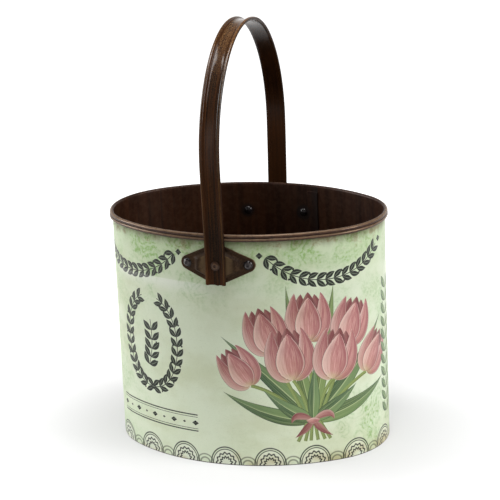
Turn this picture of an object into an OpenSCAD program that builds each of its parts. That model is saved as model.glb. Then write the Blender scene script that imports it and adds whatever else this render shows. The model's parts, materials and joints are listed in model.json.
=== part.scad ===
// Oval tin flower bucket with a printed wrap and a swinging strap handle.
// Millimetres, +Z up, origin on the floor under the middle of the bucket.
// X runs along the oval, -Y is the printed front, the handle swings about Y.

/* [Bucket] */
// Length over the rolled rim
rim_l = 200; // [180:1:240]
// Width over the rolled rim
rim_w = 145; // [135:1:165]
// Height to the top of the rim
bucket_h = 166.5; // [120:0.5:240]
// Radius of the two rounded ends, over the rim
end_r = 58; // [50:0.5:62]
// Thickness of the body sheet
sheet_t = 0.6; // [0.4:0.1:1]

/* [Rolled rim] */
// How far the roll stands out from the body sheet
rim_proud = 2.4; // [2:0.1:3]
// Height of the roll
rim_roll_h = 4.9; // [4.4:0.1:5.2]
// Radius of the roll's upper ridge
upper_ridge_r = 1.4; // [1.2:0.05:1.6]
// Radius of the roll's lower ridge
lower_ridge_r = 1.2; // [1.1:0.05:1.4]

/* [Side seam] */
// Width of the lapped seam inside the back wall
seam_w = 8; // [6:0.5:12]
// Gap between the seam and the closed end of the rivet beside it
seam_gap = 0.9; // [0.5:0.1:12]

/* [Printed wrap] */
// Thickness of the printed and varnished wrap
wrap_t = 0.2; // [0.15:0.05:0.4]
// Bare sheet left below the wrap
wrap_foot = 0.6; // [0.3:0.1:2]
// Gap between the wrap and the rolled rim
wrap_head = 0.3; // [0.2:0.1:1]

/* [Base] */
// Thickness of the base sheet
base_t = 0.6; // [0.4:0.1:1]
// Height of the base panel's top above the floor
base_rise = 6; // [4:0.5:12]
// Depth of the stiffening step stamped into the panel
base_step = 1.4; // [1:0.1:2]
// Distance of the step from the edge of the base
base_step_in = 9; // [6:0.5:15]
// Width of the lower panel that is swept with the step, the rest is a flat sheet
base_band = 14; // [10:1:20]

/* [Hinge plates] */
// Thickness of the plate sheet
plate_t = 0.9; // [0.7:0.1:1.1]
// Radius of the rounded ears round the wall rivets
ear_r = 4.9; // [4.2:0.1:5.5]
// Distance between the two wall rivets of a plate
rivet_span = 43; // [42:0.5:50]
// Height of the plate between its upper and lower corners
plate_h = 30; // [28:0.5:31]
// Radius of the upper and lower corners
corner_r = 3; // [2:0.25:4]
// Gap between the rolled rim and the plate's upper corner
plate_gap = 1.3; // [0.8:0.1:10]
// Half length of the raised middle at its flat top
dish_top_x = 13.2; // [11:0.2:13.6]
// Half length of the raised middle at its foot
dish_foot_x = 17; // [16:0.2:17.4]
// Half height of the raised middle at its flat top
dish_top_z = 9.6; // [9:0.2:10.2]
// Half height of the raised middle at its foot
dish_foot_z = 12.6; // [12:0.2:13]

/* [Rivets] */
// Radius of the wall rivets' shank
wall_rivet_r = 1.5; // [1.2:0.1:1.8]
// Radius of the wall rivets' outer head
wall_head_r = 3.1; // [2.8:0.1:3.4]
// Height of the wall rivets' outer head
wall_head_h = 1.7; // [1.2:0.1:2]
// Radius of the wall rivets' closed end inside the bucket
wall_tail_r = 2.9; // [2.2:0.1:2.9]
// Height of the wall rivets' closed end
wall_tail_h = 1.5; // [0.9:0.1:1.6]
// Radius of the pivot rivets' shank
pivot_r = 2; // [1.6:0.1:2.3]
// Radius of the pivot rivets' head
pivot_head_r = 3.3; // [3:0.1:3.7]
// Height of the pivot rivets' head
pivot_head_h = 1.3; // [1:0.1:1.8]
// Radius of the pivot rivets' closed end behind the plate
pivot_tail_r = 2.9; // [2.6:0.1:3.4]
// Height of the pivot rivets' closed end
pivot_tail_h = 1; // [0.7:0.1:1.2]
// Radius of the hollow in a rivet's head
dimple_r = 1.1; // [0.8:0.1:1.3]
// Depth of the hollow in a rivet's head
dimple_h = 0.5; // [0.3:0.1:0.6]

/* [Handle] */
// Width of the strap
strap_w = 14.3; // [13.6:0.1:16]
// Thickness of the strap's web
web_t = 0.9; // [0.7:0.1:1.2]
// Radius of the rolled hem along each edge of the strap
hem_r = 1.3; // [1.1:0.05:1.4]
// Depth of the flat pressed along the back of each hem
hem_flat = 0.2; // [0.1:0.05:0.4]
// Height of the crown's underside above the rim
handle_rise = 132; // [110:0.5:180]
// Length of the strap below the pivot
tab_down = 13.4; // [9:0.2:14]
// Length of the straight strap above the pivot
tab_up = 18; // [15:0.5:24]
// Outward bow of each leg at its widest
handle_bow = 2; // [1.2:0.1:3]
// Outward lean of each leg in degrees
leg_lean = 2.3; // [1.8:0.1:3.5]
// Inside radius of the bend where a leg starts to lean
bend_r = 30; // [20:1:40]
// Height of the shoulders' arcs in degrees
shoulder_angle = 45; // [35:1:55]

/* [Fits] */
// Radial clearance of the strap on the pivot rivets
pivot_clear = 0.05; // [0.02:0.01:0.1]
// Clearance of the strap past the rolled rim
rim_clear = 1.25; // [1:0.05:2]
// Clearance of the strap between the plate and the rivet's head
slide_gap = 0.2; // [0.15:0.05:0.3]
// Clearance of fixed pieces on their seats
seat_gap = 0.05; // [0.03:0.01:0.1]

/* [Hidden] */
$fn = 96;

// Colours of the finishes
brown = "#3a241a";
mint = "#cfdcbf";
dark_brown = "#34211a";
rivet_brown = "#241a1a";

// The oval is four arcs that meet tangentially: two ends and two long sides.
// Every arc is set by its centre, and every skin is an offset from the rim's line.
half_l = rim_l / 2;
half_w = rim_w / 2;
side_r = (half_l ^ 2 + half_w ^ 2 - 2 * half_l * end_r) / (2 * (half_w - end_r));
end_cx = half_l - end_r;
side_cy = side_r - half_w;
joint_angle = atan2(side_cy, end_cx);

// Offsets from the rim's line, inwards negative
sheet_out = -rim_proud;
sheet_in = sheet_out - sheet_t;
wrap_in = sheet_out + seat_gap;
wrap_out = wrap_in + wrap_t;
plate_in = wrap_out + seat_gap;
base_out = sheet_in - seat_gap;
base_step_x = base_out - base_step_in;
base_low_x = base_step_x - base_step;
base_hole = base_low_x - base_band;
base_core = base_low_x - base_band / 2;

// Heights
rim_roll_z = bucket_h - rim_roll_h;
base_low_z = base_rise - base_step;
pivot_z = rim_roll_z - plate_gap - plate_h / 2;

// Radii about the centre of a long side's arc
inside_r = side_r + sheet_in;
ear_in_r = side_r + plate_in;
ear_out_r = ear_in_r + plate_t;
rivet_angle = asin(rivet_span / 2 / ear_out_r);
seam_x = rivet_span / 2 + wall_tail_r + seam_gap + seam_w / 2;

// Distances from the middle plane, in Y, at the pivot
strap_y = half_w + rim_clear;
dish_y = strap_y - slide_gap;
dish_foot_y = sqrt(ear_in_r ^ 2 - dish_foot_x ^ 2) - side_cy;
pivot_head_y = strap_y + web_t + slide_gap;
pivot_tail_y = dish_y - plate_t - seat_gap;

// The handle's arch has a crown arc and two shoulder arcs that meet at shoulder_angle,
// and each shoulder runs on below its widest point until it leans like the leg.
crown_z = bucket_h + handle_rise;
tab_top_z = pivot_z + tab_up;
span_y = strap_y + handle_bow;
arch_k = cos(shoulder_angle) + sin(shoulder_angle) - 1;
arch_m = cos(shoulder_angle) / arch_k;
half_lean = tan(leg_lean / 2);
leg_rise = handle_bow / tan(leg_lean);
shoulder_r = (span_y + arch_m * (crown_z - span_y - tab_top_z - leg_rise - half_lean * bend_r))
             / (1 + arch_m * half_lean);
spring_z = tab_top_z + leg_rise + half_lean * (shoulder_r + bend_r);
arch_d = (crown_z - spring_z - span_y) / arch_k;
crown_r = shoulder_r - arch_d;
leg_l = (handle_bow - (shoulder_r + bend_r) * (1 - cos(leg_lean))) / sin(leg_lean);

// The hem's centre from the strap's back face
hem_c = hem_r - hem_flat;

// Swept pieces that follow one another lap by lap_l, every second one drawn slimmer by lap_slim
lap_l = 0.4;
lap_slim = 0.01;
function lap_angle(r) = asin(lap_l / r);

// Room for cuts that must pass right through, and a sheet thin enough to count as a plane
past = 1;
far = 4 * bucket_h;
thin = 0.01;
// Step between the corners of the base's flat sheet
core_turn = 15;

// A profile swept round the oval. Its x is the offset from the rim's line, its y the height.
// The two ends are drawn full. The two sides are drawn slim and lap into the ends.
module sweep_oval() {
    over = lap_angle(side_r);
    for (turn = [0, 180]) rotate([0, 0, turn]) {
        translate([end_cx, 0, 0])
            rotate([0, 0, -joint_angle])
                rotate_extrude(angle = 2 * joint_angle)
                    translate([end_r, 0]) let($slim = 0) children();
        translate([0, -side_cy, 0])
            rotate([0, 0, joint_angle - over])
                rotate_extrude(angle = 180 - 2 * joint_angle + 2 * over)
                    translate([side_r, 0]) let($slim = lap_slim) children();
    }
}

// Turns a front piece to the back for side = 1
module on_side(side) {
    rotate([0, 0, side > 0 ? 180 : 0]) children();
}

// Puts a piece at a wall rivet of the front, +Z outwards from the given radius of the long side
module at_wall_rivet(hand, radius) {
    translate([0, side_cy, pivot_z])
        rotate([0, 0, hand * rivet_angle])
            translate([0, -radius, 0])
                rotate([90, 0, 0]) children();
}

// Puts a piece on the front pivot, +Z outwards from a distance in Y
module at_pivot(y) {
    translate([0, -y, pivot_z]) rotate([90, 0, 0]) children();
}

// A round head with a spherical top, sitting on z = 0
module dome(r, h) {
    ball_r = (r ^ 2 + h ^ 2) / (2 * h);
    intersection() {
        translate([0, 0, h - ball_r]) sphere(ball_r);
        cylinder(r = r, h = h);
    }
}

// A rivet's head with the hollow left by its mandrel
module hollow_head(r, h) {
    difference() {
        dome(r, h);
        translate([0, 0, h - dimple_h]) cylinder(r1 = dimple_r / 2, r2 = dimple_r, h = dimple_h + thin);
    }
}

// The holes for a side's two wall rivets, through sheet, wrap and plate
module wall_rivet_holes(side) {
    on_side(side)
        for (hand = [-1, 1])
            at_wall_rivet(hand, inside_r - past)
                cylinder(r = wall_rivet_r + seat_gap, h = ear_out_r - inside_r + 2 * past);
}

// Body sheet with its rolled rim and the lapped seam inside the back
module wall_profile() {
    translate([sheet_in + $slim, $slim]) square([sheet_t - 2 * $slim, bucket_h - upper_ridge_r - $slim]);
    translate([sheet_in + upper_ridge_r, bucket_h - upper_ridge_r]) circle(upper_ridge_r - $slim);
    translate([-lower_ridge_r, rim_roll_z + lower_ridge_r]) circle(lower_ridge_r - $slim);
    translate([sheet_in + $slim, rim_roll_z + lower_ridge_r / 2 + $slim])
        square([-sheet_in - lower_ridge_r - 2 * $slim, rim_roll_h - lower_ridge_r / 2 - upper_ridge_r - $slim]);
}

// The lap is sunk half into the sheet, so that the two are one piece
module side_seam() {
    turn = asin(seam_w / inside_r);
    translate([0, -side_cy, 0])
        rotate([0, 0, 90 - asin(seam_x / inside_r) - turn / 2])
            rotate_extrude(angle = turn)
                translate([inside_r - sheet_t, base_rise + seat_gap])
                    square([sheet_t + sheet_t / 2, rim_roll_z - base_rise]);
}

module wall() {
    color(brown) difference() {
        union() {
            sweep_oval() wall_profile();
            side_seam();
        }
        for (side = [-1, 1]) wall_rivet_holes(side);
    }
}

// Printed wrap, glued round the sheet below the roll
module printed_wrap() {
    color(mint) difference() {
        sweep_oval()
            translate([wrap_in + $slim, wrap_foot + $slim])
                square([wrap_t - 2 * $slim, rim_roll_z - wrap_head - wrap_foot - 2 * $slim]);
        for (side = [-1, 1]) wall_rivet_holes(side);
    }
}

// Base pan, skirt down, with a step stamped into its panel. This is a line across the pan,
// from the foot of the skirt to the flat sheet in the middle, at a depth below the pan's face.
function pan_line(depth, slim) = let (fold = depth * tan(45 / 2)) [
    [base_out - depth, slim],
    [base_out - depth, base_rise - depth],
    [base_step_x + fold, base_rise - depth],
    [base_low_x + fold, base_low_z - depth],
    [base_hole, base_low_z - depth]
];

module base_profile() {
    face = pan_line($slim, $slim);
    back = pan_line(base_t - $slim, $slim);
    polygon([for (p = face) p, for (i = [len(back) - 1 : -1 : 0]) back[i]]);
}

module base() {
    color(brown) {
        sweep_oval() base_profile();
        translate([0, 0, base_low_z - base_t])
            linear_extrude(base_t)
                polygon([for (a = [0 : core_turn : 360 - core_turn])
                    [(half_l + base_core) * cos(a), (half_w + base_core) * sin(a)]]);
    }
}

// Rounded lozenge outline of a hinge plate
module plate_outline() {
    hull() {
        for (s = [-1, 1]) {
            translate([s * rivet_span / 2, 0]) circle(ear_r, $fn = 32);
            translate([0, s * (plate_h / 2 - corner_r)]) circle(corner_r, $fn = 32);
        }
    }
}

// Lozenge cut off short at its ends, the outline of the plate's raised middle
module dish_outline(x, z, point_x) {
    end_z = z * (1 - x / point_x);
    polygon([[x, -end_z], [x, end_z], [0, z], [-x, end_z], [-x, -end_z], [0, -z]]);
}

// The raised middle, or the hollow behind it when drawn in by the sheet's thickness
module dish(inset) {
    hull() {
        at_pivot(dish_foot_y)
            linear_extrude(thin)
                dish_outline(dish_foot_x - inset, dish_foot_z - inset, rivet_span / 2 + ear_r - inset);
        at_pivot(dish_y - inset - thin)
            linear_extrude(thin)
                dish_outline(dish_top_x - inset, dish_top_z - inset, rivet_span / 2 - inset);
    }
}

// Plate bent to the wall at its ears, with a raised flat middle for the pivot
module hinge_plate(side) {
    color(dark_brown) difference() {
        on_side(side) difference() {
            union() {
                intersection() {
                    at_pivot(0) linear_extrude(far) plate_outline();
                    translate([0, side_cy, 0]) cylinder(r = ear_out_r, h = far);
                }
                dish(0);
            }
            translate([0, side_cy, -past]) cylinder(r = ear_in_r, h = far + 2 * past);
            dish(plate_t);
            at_pivot(pivot_tail_y) cylinder(r = pivot_r + seat_gap, h = plate_t + past);
        }
        wall_rivet_holes(side);
    }
}

module front_plate() { hinge_plate(-1); }
module back_plate() { hinge_plate(1); }

// Rivet through an ear, the wrap and the sheet
module wall_rivet(side, hand) {
    grip = ear_out_r - inside_r + 2 * seat_gap;
    color(rivet_brown) on_side(side) at_wall_rivet(hand, inside_r - seat_gap) {
        translate([0, 0, grip]) hollow_head(wall_head_r, wall_head_h);
        translate([0, 0, -wall_tail_h / 2])
            cylinder(r = wall_rivet_r, h = wall_tail_h / 2 + grip + wall_head_h / 2);
        mirror([0, 0, 1]) dome(wall_tail_r, wall_tail_h);
    }
}

module front_left_rivet() { wall_rivet(-1, -1); }
module front_right_rivet() { wall_rivet(-1, 1); }
module back_left_rivet() { wall_rivet(1, 1); }
module back_right_rivet() { wall_rivet(1, -1); }

// Rivet that the strap swings on, held in the plate's raised middle
module pivot_rivet(side) {
    grip = pivot_head_y - pivot_tail_y;
    color(rivet_brown) on_side(side) at_pivot(pivot_tail_y) {
        translate([0, 0, grip]) hollow_head(pivot_head_r, pivot_head_h);
        translate([0, 0, -pivot_tail_h / 2])
            cylinder(r = pivot_r, h = pivot_tail_h / 2 + grip + pivot_head_h / 2);
        mirror([0, 0, 1]) cylinder(r = pivot_tail_r, h = pivot_tail_h);
    }
}

module front_pivot_rivet() { pivot_rivet(-1); }
module back_pivot_rivet() { pivot_rivet(1); }

// Strap section: x outwards from its back face, y across its width, drawn in all round by slim
module strap_section(slim) {
    translate([slim, hem_r - strap_w / 2]) square([web_t - 2 * slim, strap_w - 2 * hem_r]);
    intersection() {
        for (s = [-1, 1])
            translate([hem_c, s * (strap_w / 2 - hem_r)]) circle(hem_r - slim);
        translate([slim, -strap_w]) square(2 * strap_w);
    }
}

// The strap is laid piece by piece. Each piece starts at its own origin with the back face
// on x = 0, runs towards -y and carries the next piece, its child, at its end.
// Runs are drawn full. Bends are drawn slim and lap into the runs at both ends.
module strap_run(run) {
    rotate([90, 0, 0]) linear_extrude(run) strap_section(0);
    translate([0, -run, 0]) children();
}

// A bend with its centre on the strap's back
module bend_in(r, turn) {
    over = lap_angle(r);
    translate([-r, 0, 0]) rotate([0, 0, -turn]) {
        rotate([0, 0, -over])
            rotate_extrude(angle = turn + 2 * over) translate([r, 0]) strap_section(lap_slim);
        translate([r, 0, 0]) children();
    }
}

// A bend with its centre on the strap's face
module bend_out(r, turn) {
    over = lap_angle(r);
    translate([r, 0, 0]) {
        rotate([0, 0, 180 - over])
            rotate_extrude(angle = turn + 2 * over) translate([r, 0]) mirror([1, 0]) strap_section(lap_slim);
        rotate([0, 0, turn]) translate([-r, 0, 0]) children();
    }
}

// Half of the strap, from the end of the crown to the lower end of a leg
module strap_leg() {
    bend_in(shoulder_r, shoulder_angle + leg_lean)
        strap_run(leg_l)
            bend_out(bend_r, leg_lean)
                strap_run(tab_up + tab_down);
}

// The whole strap, laid in a plane round the crown's centre and stood up across the bucket
module strap() {
    translate([0, 0, crown_z - crown_r]) rotate([90, 0, 90]) {
        rotate([0, 0, shoulder_angle])
            rotate_extrude(angle = 180 - 2 * shoulder_angle) translate([crown_r, 0]) strap_section(0);
        for (half = [0, 1])
            mirror([half, 0, 0]) rotate([0, 0, shoulder_angle]) translate([crown_r, 0, 0]) strap_leg();
    }
}

module handle() {
    color(dark_brown) difference() {
        strap();
        for (side = [-1, 1])
            on_side(side) at_pivot(strap_y - past) cylinder(r = pivot_r + pivot_clear, h = web_t + 2 * past);
    }
}

wall();
printed_wrap();
base();
front_plate();
back_plate();
front_left_rivet();
front_right_rivet();
back_left_rivet();
back_right_rivet();
front_pivot_rivet();
back_pivot_rivet();
handle();
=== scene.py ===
# %% [markdown]
# # An oval tin bucket for cut flowers
# The bucket is a sheet of tin bent to an oval, with a rolled rim, a printed wrap outside, brown lacquer
# inside and a strap handle that swings on two riveted plates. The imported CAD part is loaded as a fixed
# frame: it says where every piece sits and what moves. This lesson builds finer meshes and the finishes
# round that frame, piece by piece, and ends with the camera and the light.

# %% Load the frame
import json
import math

import bpy
import numpy as np
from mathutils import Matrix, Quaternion, Vector, geometry


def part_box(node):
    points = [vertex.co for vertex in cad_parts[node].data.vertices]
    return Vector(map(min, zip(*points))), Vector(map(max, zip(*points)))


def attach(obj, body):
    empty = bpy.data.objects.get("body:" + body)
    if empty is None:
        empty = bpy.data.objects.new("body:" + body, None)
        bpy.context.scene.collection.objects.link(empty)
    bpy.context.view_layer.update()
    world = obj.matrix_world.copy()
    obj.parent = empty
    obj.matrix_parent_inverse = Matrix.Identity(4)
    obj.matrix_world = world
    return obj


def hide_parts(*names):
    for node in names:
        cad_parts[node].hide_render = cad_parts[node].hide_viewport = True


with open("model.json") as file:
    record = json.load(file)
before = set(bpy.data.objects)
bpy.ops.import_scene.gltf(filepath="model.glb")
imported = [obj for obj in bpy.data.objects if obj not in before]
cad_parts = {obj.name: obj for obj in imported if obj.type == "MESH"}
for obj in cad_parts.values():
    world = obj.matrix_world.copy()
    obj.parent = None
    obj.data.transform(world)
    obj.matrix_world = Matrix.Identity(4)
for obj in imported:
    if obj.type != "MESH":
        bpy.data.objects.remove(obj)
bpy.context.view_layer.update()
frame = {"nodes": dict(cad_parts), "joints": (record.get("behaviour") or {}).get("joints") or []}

# %% [markdown]
# ## Sizes
# The overall sizes are read from the frame's boxes, so the looks can't drift away from the solids. They
# are rounded, because the round faces of the frame are made of flat facets. The rest are sheet-metal
# sizes that a box can't tell, such as the radius of the rolled edges. Everything is in metres, and `MM`
# keeps the small numbers readable.

# %% Sizes of the bucket
MM = 0.001
wall_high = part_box("wall")[1]
wrap_low, wrap_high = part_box("printed_wrap")
half_l = round(wall_high.x, 4)
half_w = round(wall_high.y, 4)
rim_z = round(wall_high.z, 4)
handle_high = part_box("handle")[1]
pivot_z = frame["joints"][0]["pos_m"][2]

END_R = 58 * MM
SHEET = 0.6 * MM
RIM_PROUD = 2.4 * MM
WRAP_T = 0.2 * MM
sheet_out = -RIM_PROUD
sheet_in = sheet_out - SHEET
wrap_out = round(wrap_high.x, 5) - half_l
print(f"oval {2 * half_l:.3f} x {2 * half_w:.3f} m, rim at {rim_z:.4f} m, pivot at {pivot_z:.4f} m")

# %% [markdown]
# ## The oval
# A tinsmith draws an oval with four arcs: two tight ends and two long sides that meet without a kink. A
# stretched circle would be quicker, but rim, wall and wrap would not stay one sheet apart all round.
# Every skin of the bucket is the same oval moved in or out, so one function serves them all. It takes
# the turn of the outward direction, counted from the middle of the front, and an offset from the rim.

# %% Points on the oval
side_r = (half_l**2 + half_w**2 - 2 * half_l * END_R) / (2 * (half_w - END_R))
side_cy = side_r - half_w
end_cx = half_l - END_R
corner_turn = math.atan2(end_cx, side_cy)


def oval(turn, offset):
    """Points on the oval and their outward directions, both in the XY plane."""
    turn = np.asarray(turn, float)
    out = np.stack([np.sin(turn), -np.cos(turn)], axis=-1)
    on_side = np.abs(np.cos(turn)) > math.cos(corner_turn)
    centre_x = np.where(on_side, 0.0, end_cx * np.sign(out[..., 0]))
    centre_y = np.where(on_side, -side_cy * np.sign(out[..., 1]), 0.0)
    radius = np.where(on_side, side_r, END_R) + offset
    return np.stack([centre_x, centre_y], axis=-1) + radius[..., None] * out, out


def arc_marks(offset):
    """Distances along the oval, from the front's middle, at which its arcs end."""
    side = (side_r + offset) * corner_turn
    end = (END_R + offset) * (math.pi - 2 * corner_turn)
    return np.array([0.0, side, side + end, 2 * side + end])


def turn_at(distance, offset):
    """The turn that lies a distance along the oval from the front's middle, + towards +X."""
    turns = np.array([0.0, corner_turn, math.pi - corner_turn, math.pi])
    return np.sign(distance) * np.interp(np.abs(distance), arc_marks(offset), turns)


half_round = arc_marks(wrap_out)[-1]
print(f"the wrap is {2 * half_round:.4f} m round")

# %% [markdown]
# ## Meshes from rows of points
# Sheet metal is drawn, rolled and bent, so most pieces here are a section carried along a line. In mesh
# code that is a grid: one row of points for each place along the line. These helpers turn such a grid
# into a piece that rides on its body and stands for its CAD node.

# %% Faces of a grid
def grid_faces(rows, columns, close_rows=False, close_columns=False):
    """Four-sided faces between the points of a grid, stored row by row."""
    row_starts = np.arange(rows if close_rows else rows - 1)
    column_starts = np.arange(columns if close_columns else columns - 1)
    r, c = np.meshgrid(row_starts, column_starts, indexing="ij")
    next_r = (r + 1) % rows
    next_c = (c + 1) % columns
    corners = [r * columns + c, r * columns + next_c, next_r * columns + next_c, next_r * columns + c]
    return np.stack(corners, axis=-1).reshape(-1, 4)


def capped_faces(rows, columns):
    """Faces of a tube of rows, with fans that close its ends to two poles stored after the rows."""
    faces = grid_faces(rows, columns, False, True).tolist()
    last_row = (rows - 1) * columns
    first_pole = rows * columns
    for i in range(columns):
        after = (i + 1) % columns
        faces.append([first_pole, after, i])
        faces.append([first_pole + 1, last_row + i, last_row + after])
    return faces


print("faces of a tube of 2 rows of 6:", len(capped_faces(2, 6)))

# %% [markdown]
# A point attribute called `crest` goes with each lacquered mesh. It is 1 where a hand or a cloth would
# rub the lacquer off, and below zero where the lacquer is darkened: in the rim's groove, along a faint line
# inside, and as painted shade on slopes, at the edges of hems and seams and round rivets. Wear could be
# painted by hand, but it follows the form, so soft bands across the section give it.

# %% Pieces with wear and painted shade
CREASE_DEG = 40


def add_object(name, data):
    """A new object in the scene."""
    made = bpy.data.objects.new(name, data)
    bpy.context.scene.collection.objects.link(made)
    return made


def mount(mesh, body, node):
    """Makes a mesh a piece that rides on a body and stands for a CAD node."""
    piece = add_object(mesh.name, mesh)
    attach(piece, body)
    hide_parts(node)
    print(f"{piece.name}: {len(mesh.vertices)} points, {len(mesh.polygons)} faces")
    return piece


def new_piece(name, points, faces, body, node, crest, crease_deg=CREASE_DEG):
    """A smooth piece with its wear and its painted shade."""
    mesh = bpy.data.meshes.new(name)
    mesh.from_pydata(points.reshape(-1, 3).tolist(), [], faces)
    mesh.validate()
    mesh.shade_smooth()
    mesh.set_sharp_from_angle(angle=math.radians(crease_deg))
    worn = mesh.attributes.new("crest", "FLOAT", "POINT")
    worn.data.foreach_set("value", np.asarray(crest, np.float32).ravel())
    return mount(mesh, body, node)


def band(value, strength, middle, width):
    """A soft band of wear or of darkening: its strength at the middle, fading over its width."""
    return strength * np.exp(-(((value - middle) / width) ** 2))


print(f"wear in the middle of a band: {band(0, 1, 0, 1):.2f}, one width off: {band(1, 1, 0, 1):.2f}")

# %% Curves for sections
def arc_points(centre, radius, start_deg, end_deg, count):
    """Points along an arc in a plane."""
    angle = np.radians(np.linspace(start_deg, end_deg, count))
    return np.stack([centre[0] + radius * np.cos(angle), centre[1] + radius * np.sin(angle)], axis=-1)


def ease(low, high, value):
    """0 below low, 1 above high, smooth between."""
    t = np.clip((np.asarray(value, float) - low) / (high - low), 0, 1)
    return t * t * (3 - 2 * t)


print("ease half way:", ease(0, 2, 1))

# %% [markdown]
# ## The wall with its rolled rim
# The top edge of the sheet is rolled outwards twice, which leaves two round ridges with a groove between
# them. A bevelled cylinder would miss the groove, so the section is drawn as it would be cut: up the
# outside, round the lower ridge, round the upper one and down the inside. The inside also has a lapped
# seam beside one rivet. Hand rolling is never quite even, so the rim sinks in by a hair here and there.

# %% Section of the wall
UPPER_RIDGE_R = 1.4 * MM
LOWER_RIDGE_R = 1.2 * MM
RIM_ROLL_H = 4.9 * MM
EDGE_SOFT = 0.12 * MM
SEAM_FOOT_Z = 6.05 * MM
RIDGE_POINTS = 22
SEAM_LEVELS = 30
roll_z = rim_z - RIM_ROLL_H
lower_ridge = np.array([-LOWER_RIDGE_R, roll_z + LOWER_RIDGE_R])
upper_ridge = np.array([sheet_in + UPPER_RIDGE_R, rim_z - UPPER_RIDGE_R])

# The two ridges are circles that cross in the groove
between = upper_ridge - lower_ridge
gap = np.linalg.norm(between)
reach = (LOWER_RIDGE_R**2 - UPPER_RIDGE_R**2 + gap**2) / (2 * gap)
beside = math.sqrt(LOWER_RIDGE_R**2 - reach**2)
groove = lower_ridge + reach * between / gap + beside * np.array([between[1], -between[0]]) / gap
lower_end = 360 + math.degrees(math.atan2(*(groove - lower_ridge)[::-1]))
upper_start = math.degrees(math.atan2(*(groove - upper_ridge)[::-1]))

seam_top_z = roll_z
inside_levels = np.concatenate([
    [seam_top_z + 2 * EDGE_SOFT],
    np.linspace(seam_top_z, SEAM_FOOT_Z, SEAM_LEVELS),
    [SEAM_FOOT_Z - EDGE_SOFT, EDGE_SOFT],
])
outside = np.array([[sheet_out - EDGE_SOFT, 0.0], [sheet_out, EDGE_SOFT], [sheet_out, wrap_low.z]])
lower_arc = arc_points(lower_ridge, LOWER_RIDGE_R, 180, lower_end, RIDGE_POINTS)
upper_arc = arc_points(upper_ridge, UPPER_RIDGE_R, upper_start, 180, RIDGE_POINTS)[1:]
inside = np.stack([np.full(len(inside_levels), sheet_in), inside_levels], axis=-1)
foot = np.array([[sheet_in + EDGE_SOFT, 0.0]])
wall_section = np.concatenate([outside, lower_arc, upper_arc, inside, foot])
print("wall section points:", len(wall_section))

# %% Parts of the section
lower_rows = slice(len(outside), len(outside) + len(lower_arc))
upper_rows = slice(lower_rows.stop, lower_rows.stop + len(upper_arc))
rolled = np.zeros(len(wall_section))
rolled[lower_rows.start:upper_rows.stop] = 1
inner_face = wall_section[:, 0] < sheet_in + EDGE_SOFT / 2
lapped = inner_face & (wall_section[:, 1] <= seam_top_z + EDGE_SOFT / 2)
lapped &= wall_section[:, 1] >= SEAM_FOOT_Z - EDGE_SOFT / 2
print("of these on the rim:", int(rolled.sum()), "on the seam:", int(lapped.sum()))

# %% Sweep the wall
WALL_STATIONS = 560
RIM_UNEVEN = 0.10 * MM
RIM_SINK = 0.6
SLOW_WAVES = 5
QUICK_WAVES = 13
SEAM_X = 29.3 * MM
SEAM_W = 8 * MM
inside_r = side_r + sheet_in
seam_turn = math.pi - math.asin(SEAM_X / inside_r)
seam_half = SEAM_W / 2 / inside_r
seam_step = EDGE_SOFT / inside_r
even_turns = turn_at(np.linspace(-half_round, half_round, WALL_STATIONS, endpoint=False), wrap_out)
seam_edges = seam_turn + np.array([-seam_half - seam_step, -seam_half, seam_half, seam_half + seam_step])
wall_turns = np.sort(np.concatenate([even_turns, seam_edges]))

in_seam = 1 - ease(seam_half, seam_half + seam_step, np.abs(wall_turns - seam_turn))
slow_wave = np.sin(SLOW_WAVES * wall_turns + 1)
quick_wave = np.sin(QUICK_WAVES * wall_turns)
uneven = RIM_UNEVEN * (0.5 + 0.25 * slow_wave + 0.25 * quick_wave)
offsets = wall_section[None, :, 0] - np.outer(uneven, rolled) - SHEET * np.outer(in_seam, lapped)
heights = wall_section[None, :, 1] - np.outer(RIM_SINK * uneven, rolled)
flat, _ = oval(wall_turns[:, None] + np.zeros_like(offsets), offsets)
wall_points = np.concatenate([flat, heights[..., None]], axis=-1)
print("wall rows:", len(wall_turns))

# %% [markdown]
# The ridges are rubbed on their outer and upper sides. The groove is a little darker. Painted shade lies
# along the seam: a painted shadow at the edge of the lap and a broad, soft painted shade beside it. A
# second, fainter line runs down the inside further left.

# %% Wear and painted shade of the wall
# Each band has a strength, a middle and a width, in degrees round a ridge or in metres along the wall
LOWER_RUB = (0.9, 388, 48)
UPPER_RUB = (1.0, 55, 52)
# The groove between the ridges is made a little darker
GROOVE_DARKENING = (0.15, upper_start, 15)
# Painted shade: a broad soft band beside the seam on the inner face
SEAM_SIDE_SHADE = (0.3, 0.0, 45 * MM)
# A faint darker line down the inside, further left
FAINT_LINE = (0.7, 0.0, 0.9 * MM)
FAINT_LINE_TURN = math.radians(-137)
# Painted shadow along the edge of the lap, fading away from it
LAP_EDGE_SHADOW = 0.75
LAP_EDGE_SHADOW_FADE = 2.5 * MM

low_angle = np.linspace(180, lower_end, RIDGE_POINTS)
high_angle = np.linspace(upper_start, 180, RIDGE_POINTS)[1:]
ridge_crest = np.zeros(len(wall_section))
ridge_crest[lower_rows] = band(low_angle, *LOWER_RUB)
ridge_crest[upper_rows] = band(high_angle, *UPPER_RUB) - band(high_angle, *GROOVE_DARKENING)
from_lap_edge = (wall_turns - seam_turn + seam_half) * inside_r
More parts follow.
